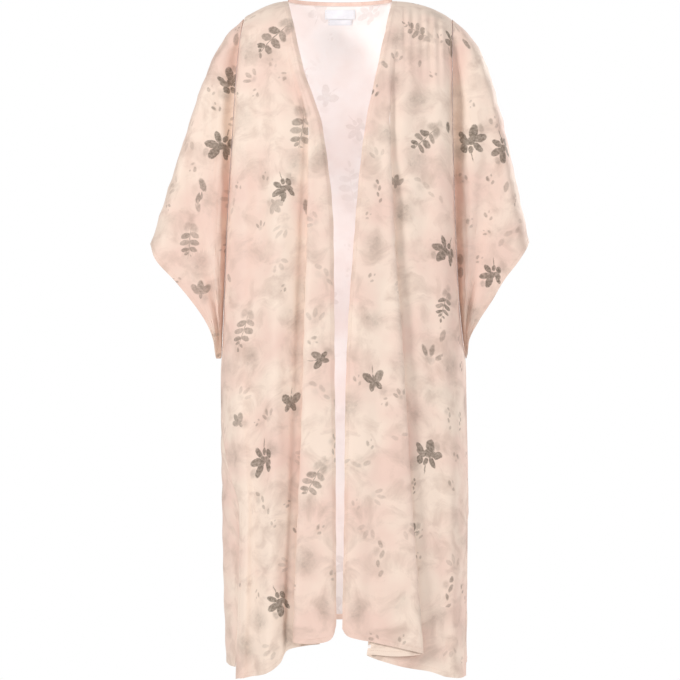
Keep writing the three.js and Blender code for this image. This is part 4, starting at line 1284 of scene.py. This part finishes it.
# A pale floor where a wearer's feet would stand, soft studio lights, and the camera, all in metres
FLOOR_DROP = 1.45
FLOOR_REACH = 1.5
FLOOR_SIDES = 96
floor_turns = np.linspace(0, 2 * math.pi, FLOOR_SIDES + 1)[:-1]
floor_rim = [(FLOOR_REACH * math.cos(a), FLOOR_REACH * math.sin(a), -FLOOR_DROP) for a in floor_turns]
floor_paint = bpy.data.materials.new("pale floor")
floor_paint.use_nodes = True
floor_shader = floor_paint.node_tree.nodes["Principled BSDF"]
floor_shader.inputs["Base Color"].default_value = colour("f2f1ee")
floor_shader.inputs["Roughness"].default_value = 0.9
floor = new_object("studio_floor", floor_rim, [list(range(FLOOR_SIDES))], [floor_paint])


def soft_light(name, place, aim, size, watts, tint):
    """A round lamp, aimed at a point."""
    data = bpy.data.lights.new(name, "AREA")
    data.shape = "DISK"
    data.size = size
    data.energy = watts
    data.color = tint
    light = bpy.data.objects.new(name, data)
    bpy.context.scene.collection.objects.link(light)
    light.location = place
    way = np.array(aim) - np.array(place)
    flat_way = math.hypot(way[0], way[1])
    light.rotation_euler = (math.atan2(flat_way, -way[2]), 0, math.atan2(-way[0], way[1]))


# The lights: place, what it is aimed at, width, watts and tint
LIGHTS = {
    "key": ((-2.3, -2.3, 0.7), (0, 0, -0.5), 0.9, 55, (1, 0.985, 0.97)),
    "fill": ((2.4, -2.5, 0.1), (0, 0, -0.6), 1.2, 31, (1, 0.99, 0.98)),
    "behind": ((2.2, 2.3, 0.7), (0, 0, -0.5), 0.9, 52, (1, 0.99, 0.98)),
}
for name, settings in LIGHTS.items():
    soft_light(name, *settings)

# Little light falls between the fronts and the back, so small lamps there show the wrong side
INSIDE_LIGHT = {
    "heights": (-0.14, -0.4, -0.65, -0.9),
    "aside": (-0.1, 0.11),
    "in_front": 0.05,
    "aim_behind": 0.1,
    "wide": 0.08,
    "watts": 0.068,
    "tint": (1, 0.99, 0.99),
}
for high in INSIDE_LIGHT["heights"]:
    for x in INSIDE_LIGHT["aside"]:
        place = (x, -INSIDE_LIGHT["in_front"], high)
        aim = (0, INSIDE_LIGHT["aim_behind"], high)
        soft_light("inside", place, aim, INSIDE_LIGHT["wide"], INSIDE_LIGHT["watts"], INSIDE_LIGHT["tint"])

world = bpy.data.worlds.new("white studio")
bpy.context.scene.world = world
world.use_nodes = True
sky = world.node_tree
sky.nodes.clear()
seen = add(sky, "ShaderNodeBackground", {"Color": (1, 1, 1, 1), "Strength": 1.0})
lit = add(sky, "ShaderNodeBackground", {"Color": (1, 0.99, 0.98, 1), "Strength": 0.46})
ray = add(sky, "ShaderNodeLightPath")
mixed = add(sky, "ShaderNodeMixShader", {
    0: ray.outputs["Is Camera Ray"], 1: lit.outputs[0], 2: seen.outputs[0]})
add(sky, "ShaderNodeOutputWorld", {"Surface": mixed.outputs[0]})
bpy.context.scene.view_settings.view_transform = "Standard"

CAMERA_AWAY = 3.4
CAMERA_DROP = 0.573
FRAME_WIDE = 1.156
camera_data = bpy.data.cameras.new("camera")
camera_data.lens = camera_data.sensor_width * CAMERA_AWAY / FRAME_WIDE
camera = bpy.data.objects.new("camera", camera_data)
bpy.context.scene.collection.objects.link(camera)
camera.location = (0, -CAMERA_AWAY, -CAMERA_DROP)
camera.rotation_euler = (math.pi / 2, 0, 0)
bpy.context.scene.camera = camera
